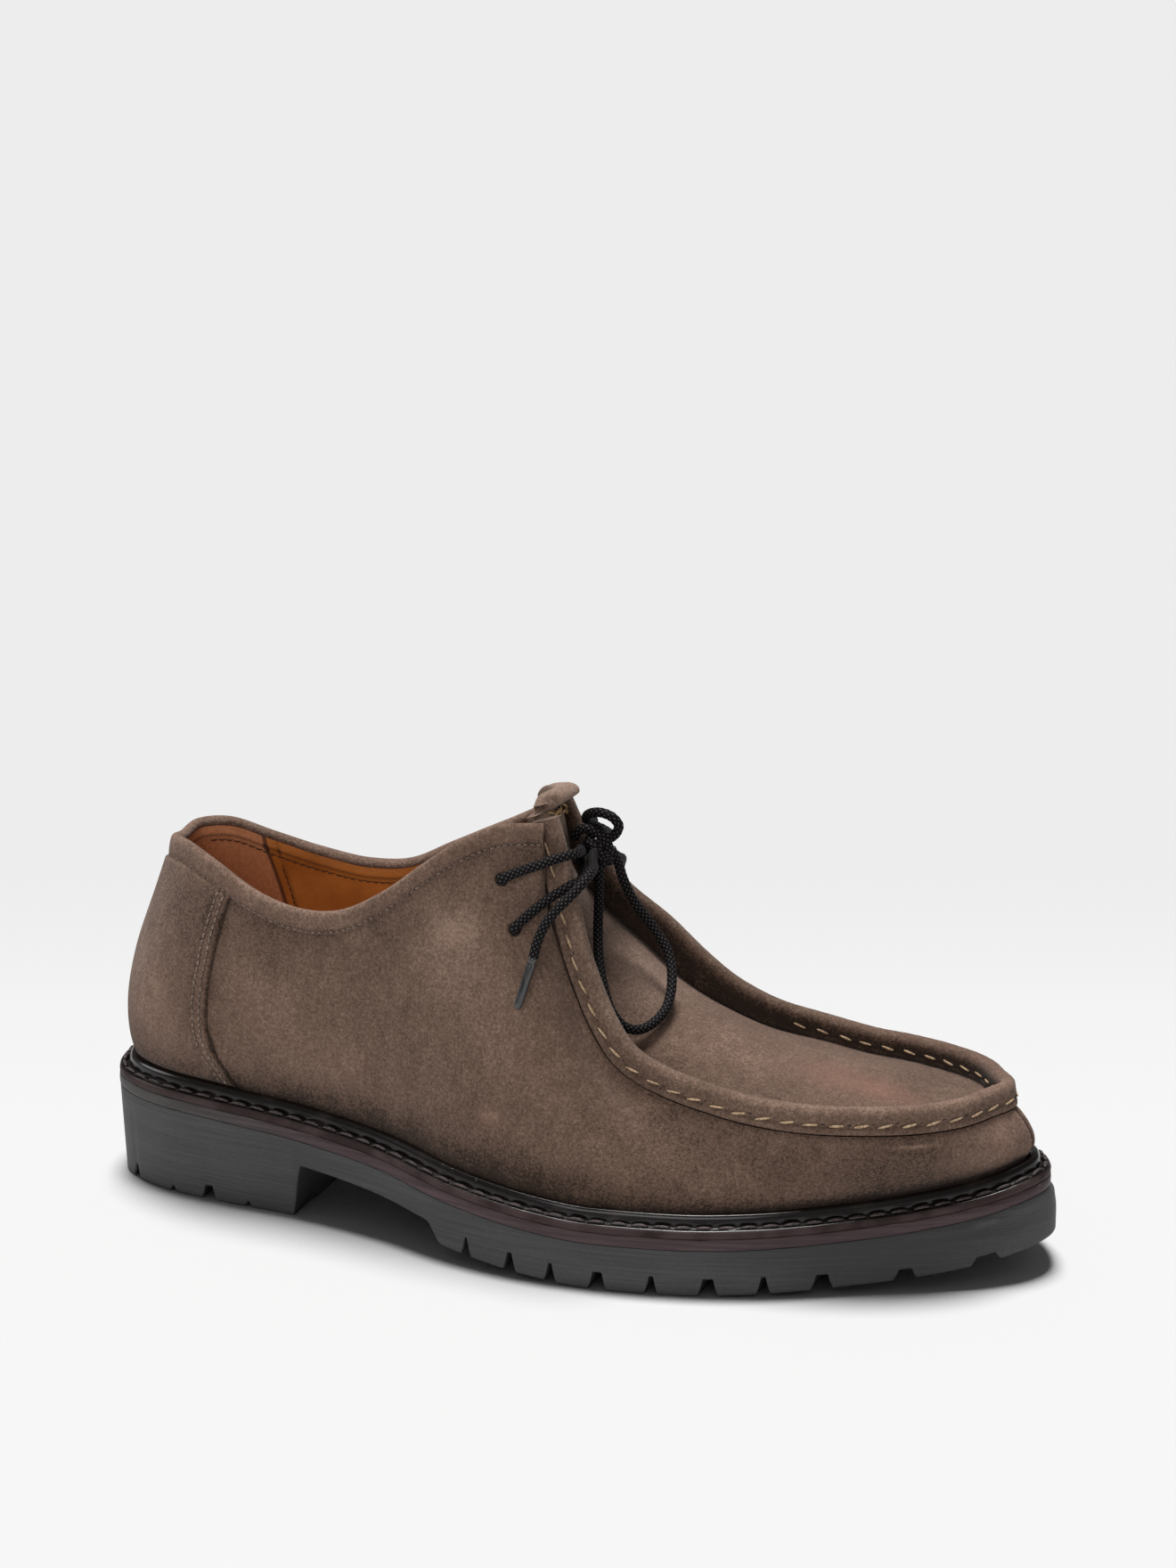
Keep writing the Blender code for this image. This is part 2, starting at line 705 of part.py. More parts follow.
def crest_stations():
    """Crest points of both sides, each from the tongue to the toe, with the seam's outward and up directions."""
    lateral = crest_line(CREST_LATERAL, -1)
    medial = crest_line(CREST_MEDIAL, 1)
    line = spline(lateral + medial[-2::-1])
    dense = 24
    toe = (len(lateral) - 1) * dense
    shares = np.concatenate([[0], np.linspace(RIDGE_FREE, 1, RIDGE_STATIONS + 1)])
    near = at_shares(line[: toe + 1], shares)
    far = at_shares(line[toe:], 1 - shares[::-1])
    path = np.vstack([near, far[1:]])
    along = unit(np.gradient(path, axis=0))
    plan = np.column_stack([along[:, 1], -along[:, 0], np.zeros(len(path))])
    side = np.zeros_like(plan)
    side[:, 1] = np.where(np.arange(len(path)) < len(near), -1, 1)
    steep = smoothstep(abs(along[:, 2]), 0.30, 0.75)[:, None]
    outward = unit(unit(plan) * (1 - steep) + side * steep)
    outward = unit(outward - along * np.sum(outward * along, axis=1, keepdims=True))
    upward = np.cross(outward, along)
    return path, outward, upward


CREST, CREST_OUT, CREST_UP = crest_stations()
CREST_TIP = RIDGE_STATIONS + 1  # index of the middle of the toe
SEAM_SHARE = abs(np.arange(len(CREST)) - CREST_TIP) / CREST_TIP  # 0 at the toe, 1 at the tongue


def wall_edge():
    """Top edge of the upper's front part, from the lateral corner round the toe to the medial corner."""
    share = np.clip(1 - (SEAM_SHARE[1:-1] * CREST_TIP / RIDGE_STATIONS), 0, 1)
    below, beside = table(WALL_EDGE)(share)
    shift = -CREST_UP[1:-1] * (below * RIDGE_HEIGHT + GAP)[:, None]
    return CREST[1:-1] + shift + CREST_OUT[1:-1] * (beside * RIDGE_THICKNESS)[:, None]


def topline(rows, sign, corner):
    """Topline of one side, from the back to the corner of the facing."""
    points = []
    for along, out, back, instep in (TOPLINE_BACK,) + rows:
        height = SEAT + back * BACK_HEIGHT + instep * INSTEP_RISE
        points.append((along * LENGTH, sign * out * COLLAR_WIDTH / 2, height))
    points.append(tuple(corner))
    return points


def topline_stations():
    """Topline from the lateral corner round the back to the medial corner."""
    edge = wall_edge()
    lift = np.array([0, 0, BINDING_HEIGHT + GAP])
    lateral = topline(TOPLINE_LATERAL, -1, edge[0] + lift)
    medial = topline(TOPLINE_MEDIAL, 1, edge[-1] + lift)
    line = spline(lateral[::-1] + medial[1:])
    dense = 24
    back = (len(lateral) - 1) * dense
    shares = np.linspace(0, 1, COLLAR_STATIONS + 1)
    near = at_shares(line[: back + 1], shares)
    far = at_shares(line[back:], shares)
    return np.vstack([near, far[1:]])


TOPLINE = topline_stations()


def upper_top():
    """Top edge of the upper at every station, from the back of the heel round the shoe."""
    collar = TOPLINE - np.array([0, 0, BINDING_HEIGHT + GAP])
    lateral = collar[: COLLAR_STATIONS + 1][::-1]
    medial = collar[COLLAR_STATIONS:][::-1]
    front = wall_edge()
    return np.vstack([lateral[:-1], front, medial[1:-1]])


def wall_point_rows(shares):
    """Rows of the upper's outer face at shares (0 above the bead, 1 at the top edge)."""
    start = ring(LEDGE_WIDTH + BEAD_WIDTH + GAP, BEAD_HEIGHT)
    top = upper_top()
    station = np.minimum(np.arange(COUNT), COUNT - np.arange(COUNT)) / HALF
    low, high = table(WALL_BELLY)(station)
    out = np.column_stack([OUTWARD, np.zeros(COUNT)])
    lift = (top - start)[:, 2:] * np.array([[0, 0, 1.0]])
    first = start + out * (low * BELLY)[:, None] + lift * 0.30
    second = top + out * (high * BELLY)[:, None] - lift * 0.28
    rows = []
    for v in shares:
        point = (1 - v) ** 3 * start + 3 * (1 - v) ** 2 * v * first + 3 * (1 - v) * v**2 * second + v**3 * top
        rows.append(point)
    return rows


def inward(rows):
    """Directions into the shoe at every point of a grid of rows, square to each station's own section."""
    up = np.gradient(np.array(rows), axis=0)
    leaning = np.sum(up[..., :2] * OUTWARD, axis=-1, keepdims=True)
    return unit(np.concatenate([-OUTWARD * up[..., 2:], leaning], axis=-1))


def make_upper():
    """Vamp side and quarters as one hollow wall, open at the collar, the apron and the sole."""
    outer = wall_point_rows(WALL_ROWS)
    normal = inward(outer)
    keep = (0, 2, 4, 6, 7, 8)
    station = np.minimum(np.arange(COUNT), COUNT - np.arange(COUNT))
    skived = 1 - 0.5 * smoothstep(abs(station - COLLAR_STATIONS - 2.0), 4.0, 1.5)
    inner = [outer[i] + normal[i] * (WALL * skived)[:, None] for i in keep]
    foot = ring(LEDGE_WIDTH + BEAD_WIDTH + GAP, midsole_top() + GAP)
    inner_foot = ring(LEDGE_WIDTH + BEAD_WIDTH + GAP + WALL, midsole_top() + GAP)
    rings = [foot] + outer + inner[::-1] + [inner_foot]
    return make_object("upper", *ring_solid(rings), "suede")


def make_binding():
    """Folded strip that stands on the quarter's top edge, from facing to facing."""
    along = unit(np.gradient(TOPLINE, axis=0))
    lean = unit(np.column_stack([-along[:, 1], along[:, 0], np.zeros(len(along))]))
    profile = (
        (0.12, 1.00),
        (0.26, 0.50),
        (0.16, 0.14),
        (-0.14, 0.0),
        (-0.52, 0.10),
        (-0.70, 0.48),
        (-0.58, 1.00),
    )
    sections = []
    for k, point in enumerate(TOPLINE):
        from_end = min(k, len(TOPLINE) - 1 - k)
        thick = BINDING_THICKNESS * (0.52 + 0.48 * float(smoothstep(from_end, 0.0, 4.0)))
        drop = np.array([0, 0, BINDING_HEIGHT])
        section = [point + lean[k] * out * thick - drop * down for out, down in profile]
        sections.append(np.array(section))
    return make_object("collar_binding", *sweep(sections), "suede")


def make_counter():
    """Heel patch laid on the outside of the quarters."""
    shares = (0.10,) + WALL_ROWS[2:-1] + (0.985,)
    rows = np.array(wall_point_rows(shares))
    normal = inward(rows)
    (reach,) = table(COUNTER_EDGE)(shares) * COUNTER_REACH
    side = np.arange(HALF // 2)
    ends = np.array([
        [np.interp(x, row[sign * side, 0], side) for sign in (-1, 1)]
        for x, row in zip(reach, rows)
    ])
    medial, lateral = np.floor(ends.min(axis=0) - 0.25).astype(int)
    outer, inner = [], []
    for r, row in enumerate(rows):
        middle = np.arange(-medial, lateral + 1)
        first = [-ends[r, 0], -(ends[r, 0] + medial) / 2]
        last = [(ends[r, 1] + lateral) / 2, ends[r, 1]]
        at = np.concatenate([first, middle, last])
        stations = np.arange(-HALF // 2, HALF // 2 + 1)
        point = np.column_stack([np.interp(at, stations, row[stations, i]) for i in range(3)])
        away = -unit(np.column_stack([np.interp(at, stations, normal[r][stations, i]) for i in range(3)]))
        outer.append(point + away * (GAP + COUNTER_THICKNESS))
        inner.append(point + away * GAP)
    grid = np.array(outer + inner[::-1])
    sections = [grid[:, i] for i in range(grid.shape[1])]
    return make_object("heel_counter", *sweep(sections), "suede")


# Apron, seam and tongue
def seam_legs():
    """Depth of the seam's inner leg and the crown of the apron at every crest station."""
    leg, crown = table(APRON_SECTION)(1 - SEAM_SHARE)
    return leg * RIDGE_HEIGHT, crown


def make_seam():
    """Raised seam: both leathers stand up and a folded strip covers them, with a lip on each side."""
    leg, _ = seam_legs()
    half = RIDGE_THICKNESS / 2
    sections = []
    for k in range(len(CREST)):
        profile = (
            (half + RIDGE_LIP, -RIDGE_HEIGHT),
            (half + RIDGE_LIP, -RIDGE_HEIGHT * 0.78),
            (half, -RIDGE_HEIGHT * 0.70),
            (half, -RIDGE_HEIGHT * 0.28),
            (half * 0.55, -RIDGE_HEIGHT * 0.03),
            (-half * 0.55, 0.0),
            (-half, -RIDGE_HEIGHT * 0.25),
            (-half, -leg[k]),
            (-GAP, -leg[k]),
            (-GAP, -RIDGE_HEIGHT),
        )
        section = [CREST[k] + CREST_OUT[k] * out + CREST_UP[k] * up for out, up in profile]
        sections.append(np.array(section))
    return make_object("apron_seam", *sweep(sections), "suede")


def apron_rows(depth):
    """Rows of the apron from the toe to the tongue's top, at a depth below its face."""
    leg, crown = seam_legs()
    rows = []
    for j in range(1, CREST_TIP + 1):
        near, far = CREST_TIP - j, CREST_TIP + j
        ends = [CREST[k] - CREST_OUT[k] * 3 * GAP - CREST_UP[k] * (leg[k] + GAP + depth) for k in (near, far)]
        clear = [ends[i] - CREST_OUT[k] * RIDGE_THICKNESS / 2 for i, k in enumerate((near, far))]
        behind_toe = np.linalg.norm((clear[0] + clear[1]) / 2 - CREST[CREST_TIP])
        height = smoothstep(behind_toe, 0.012, 0.040) * (crown[near] + crown[far]) / 2
        rows.append(apron_row(ends, clear, CREST_UP[near] + CREST_UP[far], height))
    return rows


def apron_row(ends, clear, up, crown):
    """One row from seam to seam: flat below the seam's legs and arched between them."""
    across = np.linspace(-1, 1, 7)[:, None]
    chord = (clear[0] + clear[1]) / 2 + (clear[1] - clear[0]) / 2 * across
    width = np.linalg.norm(clear[1] - clear[0])
    middle = chord + unit(up) * (1 - across**2) * crown * width
    return np.vstack([ends[:1], middle, ends[1:]])


def make_apron():
    """Apron and tongue in one piece, with a rolled top."""
    face, back = apron_rows(0.0), apron_rows(APRON_THICKNESS)
    step = unit(face[-1] - face[-2])
    forward = unit(CREST_UP[0] + CREST_UP[-1])
    end, end_back = face[-1], back[-1]
    middle, middle_back = end.mean(axis=0), end_back.mean(axis=0)
    for run, swell in ((0.22, 0.0), (0.30, 0.85), (0.62, 1.0), (0.90, 0.70)):
        reach = step * run * TONGUE_ROLL_HEIGHT
        face.append(end + (middle - end) * 0.1 * swell + reach + forward * TONGUE_ROLL * swell)
        back.append(end_back + (middle_back - end_back) * 0.1 * swell + reach)
    sections = [np.vstack([f, b[::-1]]) for f, b in zip(face, back)]
    return make_object("apron", *sweep(sections), "suede")


# Laces
def over_apron(along, out, lift):
    """Point given as along, out and lift, in shoe coordinates."""
    return along * LENGTH, out * APRON_WIDTH / 2, TOE_LEVEL + lift * (FACING_LEVEL - TOE_LEVEL)


def route(rows):
    """Smooth line through route points."""
    return spline([over_apron(*row) for row in rows], 12)


def evenly(line, spacing):
    length = np.linalg.norm(np.diff(line, axis=0), axis=1).sum()
    return at_shares(line, np.linspace(0, 1, int(math.ceil(length / spacing)) + 1))


def tube(line, diameter):
    """A closed tube along a line, with frames carried on from point to point."""
    along = unit(np.gradient(line, axis=0))
    side = np.cross(along[0], (0.0, 0.0, 1.0))
    angles = np.linspace(0, 2 * math.pi, LACE_SIDES, endpoint=False)
    sections = []
    for point, direction in zip(line, along):
        side = unit(side - direction * np.dot(side, direction))
        upward = np.cross(side, direction)
        section = [point + (side * math.cos(a) + upward * math.sin(a)) * diameter / 2 for a in angles]
        sections.append(np.array(section))
    return sweep(sections)


def make_bars():
    """Both crossings between the eyelets, joined below the knot."""
    bars = []
    for name, rows in (("lace_bars", UPPER_BAR), ("lower_bar", LOWER_BAR)):
        bar = tube(evenly(route(rows), 2 * LACE_DIAMETER), LACE_DIAMETER)
        bars.append(make_object(name, *bar, "lace_cord"))
    upper, lower = bars
    lower.hide_render = True
    lower.display_type = "WIRE"
    join = upper.modifiers.new("lower_bar", "BOOLEAN")
    join.object = lower
    join.operation = "UNION"
    join.solver = "EXACT"
    return upper


def make_knot():
    """Ball that stands for the wraps of the knot."""
    centre = np.array(over_apron(*KNOT))
    rings, sides = 7, 12
    sections = []
    for r in range(rings):
        polar = math.pi * (r + 0.5) / rings
        angles = np.linspace(0, 2 * math.pi, sides, endpoint=False)
        ring = np.column_stack([np.cos(angles), np.sin(angles), np.zeros(sides)]) * math.sin(polar)
        sections.append(centre + (ring + (0, 0, math.cos(polar))) * KNOT_SIZE / 2)
    return make_object("lace_knot", *sweep(sections), "lace_cord")


def make_cord(name, rows):
    """Round lace cord along a route, as a bevelled curve."""
    points = put(evenly(route(rows), 2 * LACE_DIAMETER))
    curve = bpy.data.curves.new(name, "CURVE")
    curve.dimensions = "3D"
    curve.bevel_depth = LACE_DIAMETER / 2
    curve.bevel_resolution = 2
    curve.use_fill_caps = True
    line = curve.splines.new("POLY")
    line.points.add(len(points) - 1)
    for spot, point in zip(line.points, points):
        spot.co = (*point, 1)
    curve.materials.append(material("lace_cord", *MATERIALS["lace_cord"]))
    made = bpy.data.objects.new(name, curve)
    bpy.context.scene.collection.objects.link(made)
    return made


def make_aglet(name, rows):
    """Stiff tip that carries on the line of a lace's end."""
    line = route(rows)
    direction = unit(line[-1] - line[-4])
    start = line[-1] + direction * GAP
    line = np.array([start, start + direction * AGLET_LENGTH])
    return make_object(name, *tube(line, AGLET_DIAMETER), "aglet_plastic")


def main():
    for old in list(bpy.data.objects):
        bpy.data.objects.remove(old, do_unlink=True)
    make_outsole()
    make_midsole()
    make_welt()
    make_insole()
    make_upper()
    make_binding()
    make_counter()
    make_seam()
    make_apron()
    make_bars()
    make_knot()
    make_cord("lace_loop_large", LARGE_LOOP)
    make_cord("lace_loop_small", SMALL_LOOP)
    make_cord("lace_end_lateral", LATERAL_END)
    make_cord("lace_end_medial", MEDIAL_END)
    make_aglet("aglet_lateral", LATERAL_END)
    make_aglet("aglet_medial", MEDIAL_END)


main()
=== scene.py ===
"""Looks of the right lace-up shoe: suede upper, raised apron seam, storm welt and rubber sole.

Points are worked out in the shoe's own coordinates: x from the back of the welt to the toe, y to the medial
side, z up from the floor, in metres. put() moves them to the frame, whose origin is below the sole's middle.
"""

import math

import bmesh
import bpy
import numpy as np
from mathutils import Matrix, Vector


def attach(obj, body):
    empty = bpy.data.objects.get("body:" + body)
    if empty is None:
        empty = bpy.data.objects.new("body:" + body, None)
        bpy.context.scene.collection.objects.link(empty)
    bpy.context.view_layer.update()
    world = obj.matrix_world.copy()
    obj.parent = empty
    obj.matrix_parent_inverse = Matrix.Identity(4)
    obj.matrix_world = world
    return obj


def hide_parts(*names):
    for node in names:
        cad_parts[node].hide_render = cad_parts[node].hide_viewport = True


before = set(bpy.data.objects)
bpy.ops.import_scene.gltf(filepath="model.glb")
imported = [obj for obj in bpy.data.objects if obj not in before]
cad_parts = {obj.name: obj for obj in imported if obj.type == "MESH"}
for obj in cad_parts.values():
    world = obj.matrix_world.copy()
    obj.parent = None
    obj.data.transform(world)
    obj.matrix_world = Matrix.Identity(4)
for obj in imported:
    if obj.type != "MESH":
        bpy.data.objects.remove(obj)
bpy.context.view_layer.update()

# Camera, in metres, degrees and pixels
CAMERA_AT = (0.440091, -1.194361, 0.527091)
CAMERA_AZIMUTH = 20.0
CAMERA_ELEVATION = 17.0
PHOTO_HEIGHT = 1760
FOCAL_PIXELS = 5000
SENSOR = 36.0

# Sole, in metres
LENGTH = 0.2975
BALL_WIDTH = 0.1070
HEEL_WIDTH = 0.0680
LUG_HEIGHT = 0.0057
PLATE_THICKNESS = 0.0084
MIDSOLE_THICKNESS = 0.0035
WELT_THICKNESS = 0.0024
HEEL_RISE = 0.0142
TOE_SPRING = 0.0120
HEEL_TAPER = 0.0013
TOE_FLARE = 0.0020
HEEL_LENGTH = 0.0700
TREAD_START = 0.1260
BREAST_SLANT = 0.0030
TREAD_SLANT = 0.0060
LUG_EDGE_DEPTH = 0.0120

# Welt and insole
LEDGE_WIDTH = 0.0031
BEAD_WIDTH = 0.0035
BEAD_HEIGHT = 0.0036
INSOLE_THICKNESS = 0.0055

# Section of the bead: from the ledge inward (millimetres), up (share of BEAD_HEIGHT)
BEAD_PROFILE = ((-0.1, 0.06), (0.1, 0.50), (0.6, 0.86), (1.4, 0.985), (2.2, 1.0), (3.0, 0.92), (3.5, 0.70))

# Upper
WALL = 0.0022
SUEDE_SHARE = 0.55  # share of the wall that is suede, the rest is lining
BACK_HEIGHT = 0.0775
INSTEP_RISE = 0.0365
TOE_HEIGHT = 0.0364
COLLAR_WIDTH = 0.0620
APRON_WIDTH = 0.0710
BELLY = 0.0100
BINDING_HEIGHT = 0.0065
BINDING_THICKNESS = 0.0046
BACK_LEAN = 0.0012  # how far the collar strip leans in over its height at the back
COUNTER_THICKNESS = 0.0012
COUNTER_REACH = 0.0477

# Apron seam and tongue
RIDGE_HEIGHT = 0.0078
RIDGE_THICKNESS = 0.0050
RIDGE_LIP = 0.0005
PUCKER_PITCH = 0.0042
APRON_THICKNESS = 0.0024
TONGUE_ROLL = 0.0046
TONGUE_ROLL_HEIGHT = 0.0076
TONGUE_NOD = 0.0018

# Laces
LACE_DIAMETER = 0.0030
BRAID_PITCH = 0.0034
AGLET_DIAMETER = 0.0027
AGLET_LENGTH = 0.0160
EYELET_RADIUS = 0.0022
LARGE_LOOP_LENGTH = 0.133
SMALL_LOOP_LENGTH = 0.043
LATERAL_END_LENGTH = 0.052
MEDIAL_END_LENGTH = 0.054

GAP = 0.0003
MM = 0.001

# Studio: strength of the surround, paint of the floor near and far (greyer far off, a painted falloff of
# light), and lamps
# (name, kind, place, size in metres or degrees, power)
SURROUND = 0.09
FLOOR_NEAR = (0.800, 0.800, 0.800)
FLOOR_FAR = (0.732, 0.732, 0.732)
FLOOR_BEND = (0.06, 0.36)  # metres behind the origin, away from the camera
LAMPS = (
    ("overhead", "SUN", (-0.10, 0.21, 1.25), 20.0, 3.45),
    ("front", "AREA", (0.1, -2.1, 1.3), 1.5, 21.5),
    ("left", "AREA", (-1.8, -0.3, 1.0), 0.9, 9.0),
)
FLOOR_REACH = 24.0

# Lining: where its heel seam meets the topline, and how far forward it runs for each metre down
LINING_SEAM = 0.0388
LINING_SEAM_SLANT = 0.20

# Stations along one side: shares from the heel to the facing and from the facing to the toe
FACING_FOOT = 0.49
RIDGE_FREE = 0.035
FACING_PLACE = 0.425  # where the facing lies between heel (0) and toe (1) in the wall's table
COLLAR_STEPS = np.union1d(np.linspace(0, 1, 92), np.linspace(0.86, 1, 52))
SEAM_STEPS = np.union1d(np.linspace(0, 1, 128), np.linspace(0.97, 1, 16))
FREE_STEPS = np.linspace(0, RIDGE_FREE, 7)[:-1]
WALL_STEPS = np.union1d(np.linspace(0, 1, 58), np.linspace(0.64, 0.94, 44))

# Outline of the welt: along, lateral and medial, as shares of the length and of the local half width
OUTLINE = (
    (0.012, 0.456, 0.400),
    (0.035, 0.676, 0.640),
    (0.080, 0.868, 0.841),
    (0.152, 0.979, 0.941),
    (0.243, 1.053, 0.929),
    (0.334, 1.134, 0.822),
    (0.425, 1.173, 0.727),
    (0.506, 1.121, 0.726),
    (0.587, 1.053, 0.807),
    (0.668, 0.987, 0.929),
    (0.748, 0.856, 0.957),
    (0.829, 0.650, 0.890),
    (0.899, 0.450, 0.758),
    (0.956, 0.240, 0.560),
    (0.988, 0.060, 0.340),
)
TOE_TIP = 0.112

# Height of every layer: along, share of HEEL_RISE, share of TOE_SPRING
RISE = (
    (0.000, 1.000, 0.00),
    (0.101, 0.965, 0.00),
    (0.182, 0.875, 0.00),
    (0.253, 0.760, 0.00),
    (0.354, 0.560, 0.00),
    (0.425, 0.330, 0.00),
    (0.496, 0.150, 0.00),
    (0.546, 0.050, 0.00),
    (0.582, 0.000, 0.00),
    (0.673, 0.000, 0.00),
    (0.739, 0.000, 0.05),
    (0.799, 0.000, 0.14),
    (0.840, 0.000, 0.23),
    (0.900, 0.000, 0.41),
    (0.951, 0.000, 0.62),
    (1.000, 0.000, 0.93),
)

# Topline: along, out (share of half the collar width), share of BACK_HEIGHT, share of INSTEP_RISE
TOPLINE_BACK = (0.0630, 0.0, 0.955, 0.00)
TOPLINE_LATERAL = (
    (0.0680, 0.290, 0.973, 0.00),
    (0.097, 0.540, 0.979, 0.00),
    (0.138, 0.730, 0.935, 0.00),
    (0.188, 0.855, 0.853, 0.00),
    (0.239, 0.930, 0.812, 0.00),
    (0.286, 0.975, 0.812, 0.04),
    (0.336, 1.000, 0.812, 0.26),
    (0.380, 0.994, 0.812, 0.54),
    (0.420, 0.962, 0.812, 0.77),
    (0.460, 0.922, 0.812, 0.92),
)
TOPLINE_MEDIAL = (
    (0.0680, 0.290, 0.973, 0.00),
    (0.097, 0.520, 0.968, 0.00),
    (0.138, 0.710, 0.903, 0.00),
    (0.188, 0.838, 0.841, 0.00),
    (0.239, 0.903, 0.806, 0.00),
    (0.286, 0.935, 0.806, 0.03),
    (0.329, 0.952, 0.806, 0.20),
    (0.370, 0.935, 0.806, 0.37),
    (0.413, 0.887, 0.806, 0.55),
)

# Crest of the apron seam, from the tongue to the toe: along, out (share of half the apron width), lift
CREST_LATERAL = (
    (0.513, 0.606, 1.000),
    (0.523, 0.620, 0.876),
    (0.533, 0.648, 0.732),
    (0.544, 0.685, 0.588),
    (0.557, 0.732, 0.444),
    (0.571, 0.775, 0.327),
    (0.588, 0.822, 0.216),
    (0.608, 0.854, 0.131),
    (0.642, 0.896, 0.078),
    (0.682, 0.935, 0.046),
    (0.737, 0.941, 0.013),
    (0.793, 0.882, 0.000),
    (0.844, 0.766, 0.000),
    (0.887, 0.597, 0.000),
    (0.923, 0.366, 0.007),
    (0.943, 0.099, 0.013),
)
CREST_TOE = (0.956, -0.141, 0.017)
CREST_MEDIAL = (
    (0.475, 0.563, 0.915),
    (0.488, 0.592, 0.797),
    (0.508, 0.648, 0.667),
    (0.533, 0.718, 0.549),
    (0.575, 0.817, 0.405),
    (0.612, 0.887, 0.261),
    (0.646, 0.952, 0.157),
    (0.689, 1.014, 0.078),
    (0.740, 1.056, 0.034),
    (0.786, 1.056, 0.005),
    (0.841, 0.986, 0.000),
    (0.884, 0.845, 0.000),
    (0.918, 0.648, 0.005),
    (0.939, 0.394, 0.013),
)

# Side wall fullness: place from heel (0) to toe (1), low and high, as shares of BELLY
WALL_BELLY = (
    (0.00, 0.84, 0.55),
    (0.08, 0.82, 0.55),
    (0.18, 0.70, 0.40),
    (0.30, 0.50, 0.25),
    (0.42, 0.45, 0.45),
    (0.55, 0.50, 0.60),
    (0.75, 0.50, 0.45),
    (1.00, 0.40, 0.35),
)

# Front edge of the counter: height share of the wall, share of COUNTER_REACH
COUNTER_EDGE = (
    (0.00, 1.040),
    (0.05, 1.000),
    (0.10, 0.970),
    (0.22, 0.885),
    (0.40, 0.855),
    (0.68, 0.905),
    (1.00, 1.000),
)

# Edge of the upper beside the seam: share from the facing to the toe, how far below the crest and outside it
WALL_EDGE = (
    (0.00, 0.56, 1.16),
    (0.05, 0.82, 1.16),
    (0.10, 1.04, 1.14),
    (0.26, 1.04, 0.48),
    (1.00, 1.04, 0.48),
)

# From the tongue to the toe: inner leg of the seam (share of RIDGE_HEIGHT), crown of the apron (of its width)
APRON_SECTION = (
    (0.00, 1.00, 0.195),
    (0.05, 1.05, 0.162),
    (0.12, 1.20, 0.070),
    (0.18, 1.30, 0.030),
    (0.25, 1.38, 0.055),
    (0.33, 1.38, 0.120),
    (0.44, 1.15, 0.160),
    (0.55, 0.98, 0.110),
    (0.66, 0.92, 0.084),
    (0.80, 0.90, 0.100),
    (0.90, 0.90, 0.080),
    (1.00, 0.90, 0.030),
)

# Section of the collar strip: outward (share of BINDING_THICKNESS), down (share of BINDING_HEIGHT)
BINDING_PROFILE = (
    (0.00, 1.09),
    (0.04, 0.98),
    (0.08, 0.72),
    (0.09, 0.45),
    (0.06, 0.16),
    (-0.04, 0.03),
    (-0.18, 0.00),
    (-0.42, 0.05),
    (-0.60, 0.17),
    (-0.67, 0.32),
    (-0.60, 0.42),
    (-0.40, 0.46),
    (-0.24, 0.60),
    (-0.20, 1.02),
)

# Section of the seam strip: outward from its middle (share of half its thickness and of RIDGE_LIP), down
SEAM_OUTER = (
    (1.000, 0.60, 1.000),
    (1.000, 1.00, 0.960),
    (1.000, 1.00, 0.860),
    (1.000, 0.70, 0.800),
    (0.960, 0.00, 0.735),
    (0.920, 0.00, 0.690),
    (1.000, 0.00, 0.620),
    (1.040, 0.00, 0.460),
    (0.960, 0.00, 0.320),
    (0.900, 0.00, 0.170),
    (0.620, 0.00, 0.050),
    (0.220, 0.00, 0.002),
    (-0.220, 0.00, 0.002),
    (-0.620, 0.00, 0.050),
    (-0.900, 0.00, 0.170),
    (-1.000, 0.00, 0.340),
)
SEAM_INNER = (
    (-1.040, 0.00, 0.520),
    (-1.000, 0.00, 0.660),
    (-0.880, 0.00, 0.735),
    (-0.920, 0.00, 0.780),
    (-1.000, -0.70, 0.840),
    (-1.000, -1.00, 0.930),
    (-1.000, -0.60, 1.000),
)

# Side notches of the tread: share of the length, width in metres, share of LUG_HEIGHT
NOTCH_SLOPE = 0.0016
HEEL_NOTCHES = ((0.037, 0.0018, 0.77), (0.091, 0.0008, 0.32), (0.136, 0.0032, 0.77), (0.183, 0.0008, 0.30))
FOREFOOT_NOTCHES = (
    (0.453, 0.0016, 1.00),
    (0.503, 0.0022, 1.00),
    (0.547, 0.0018, 1.00),
    (0.596, 0.0034, 0.95),
    (0.650, 0.0020, 0.98),
    (0.705, 0.0036, 0.92),
    (0.757, 0.0020, 0.95),
    (0.810, 0.0038, 0.80),
    (0.884, 0.0040, 0.55),
    (0.953, 0.0052, 0.45),
)

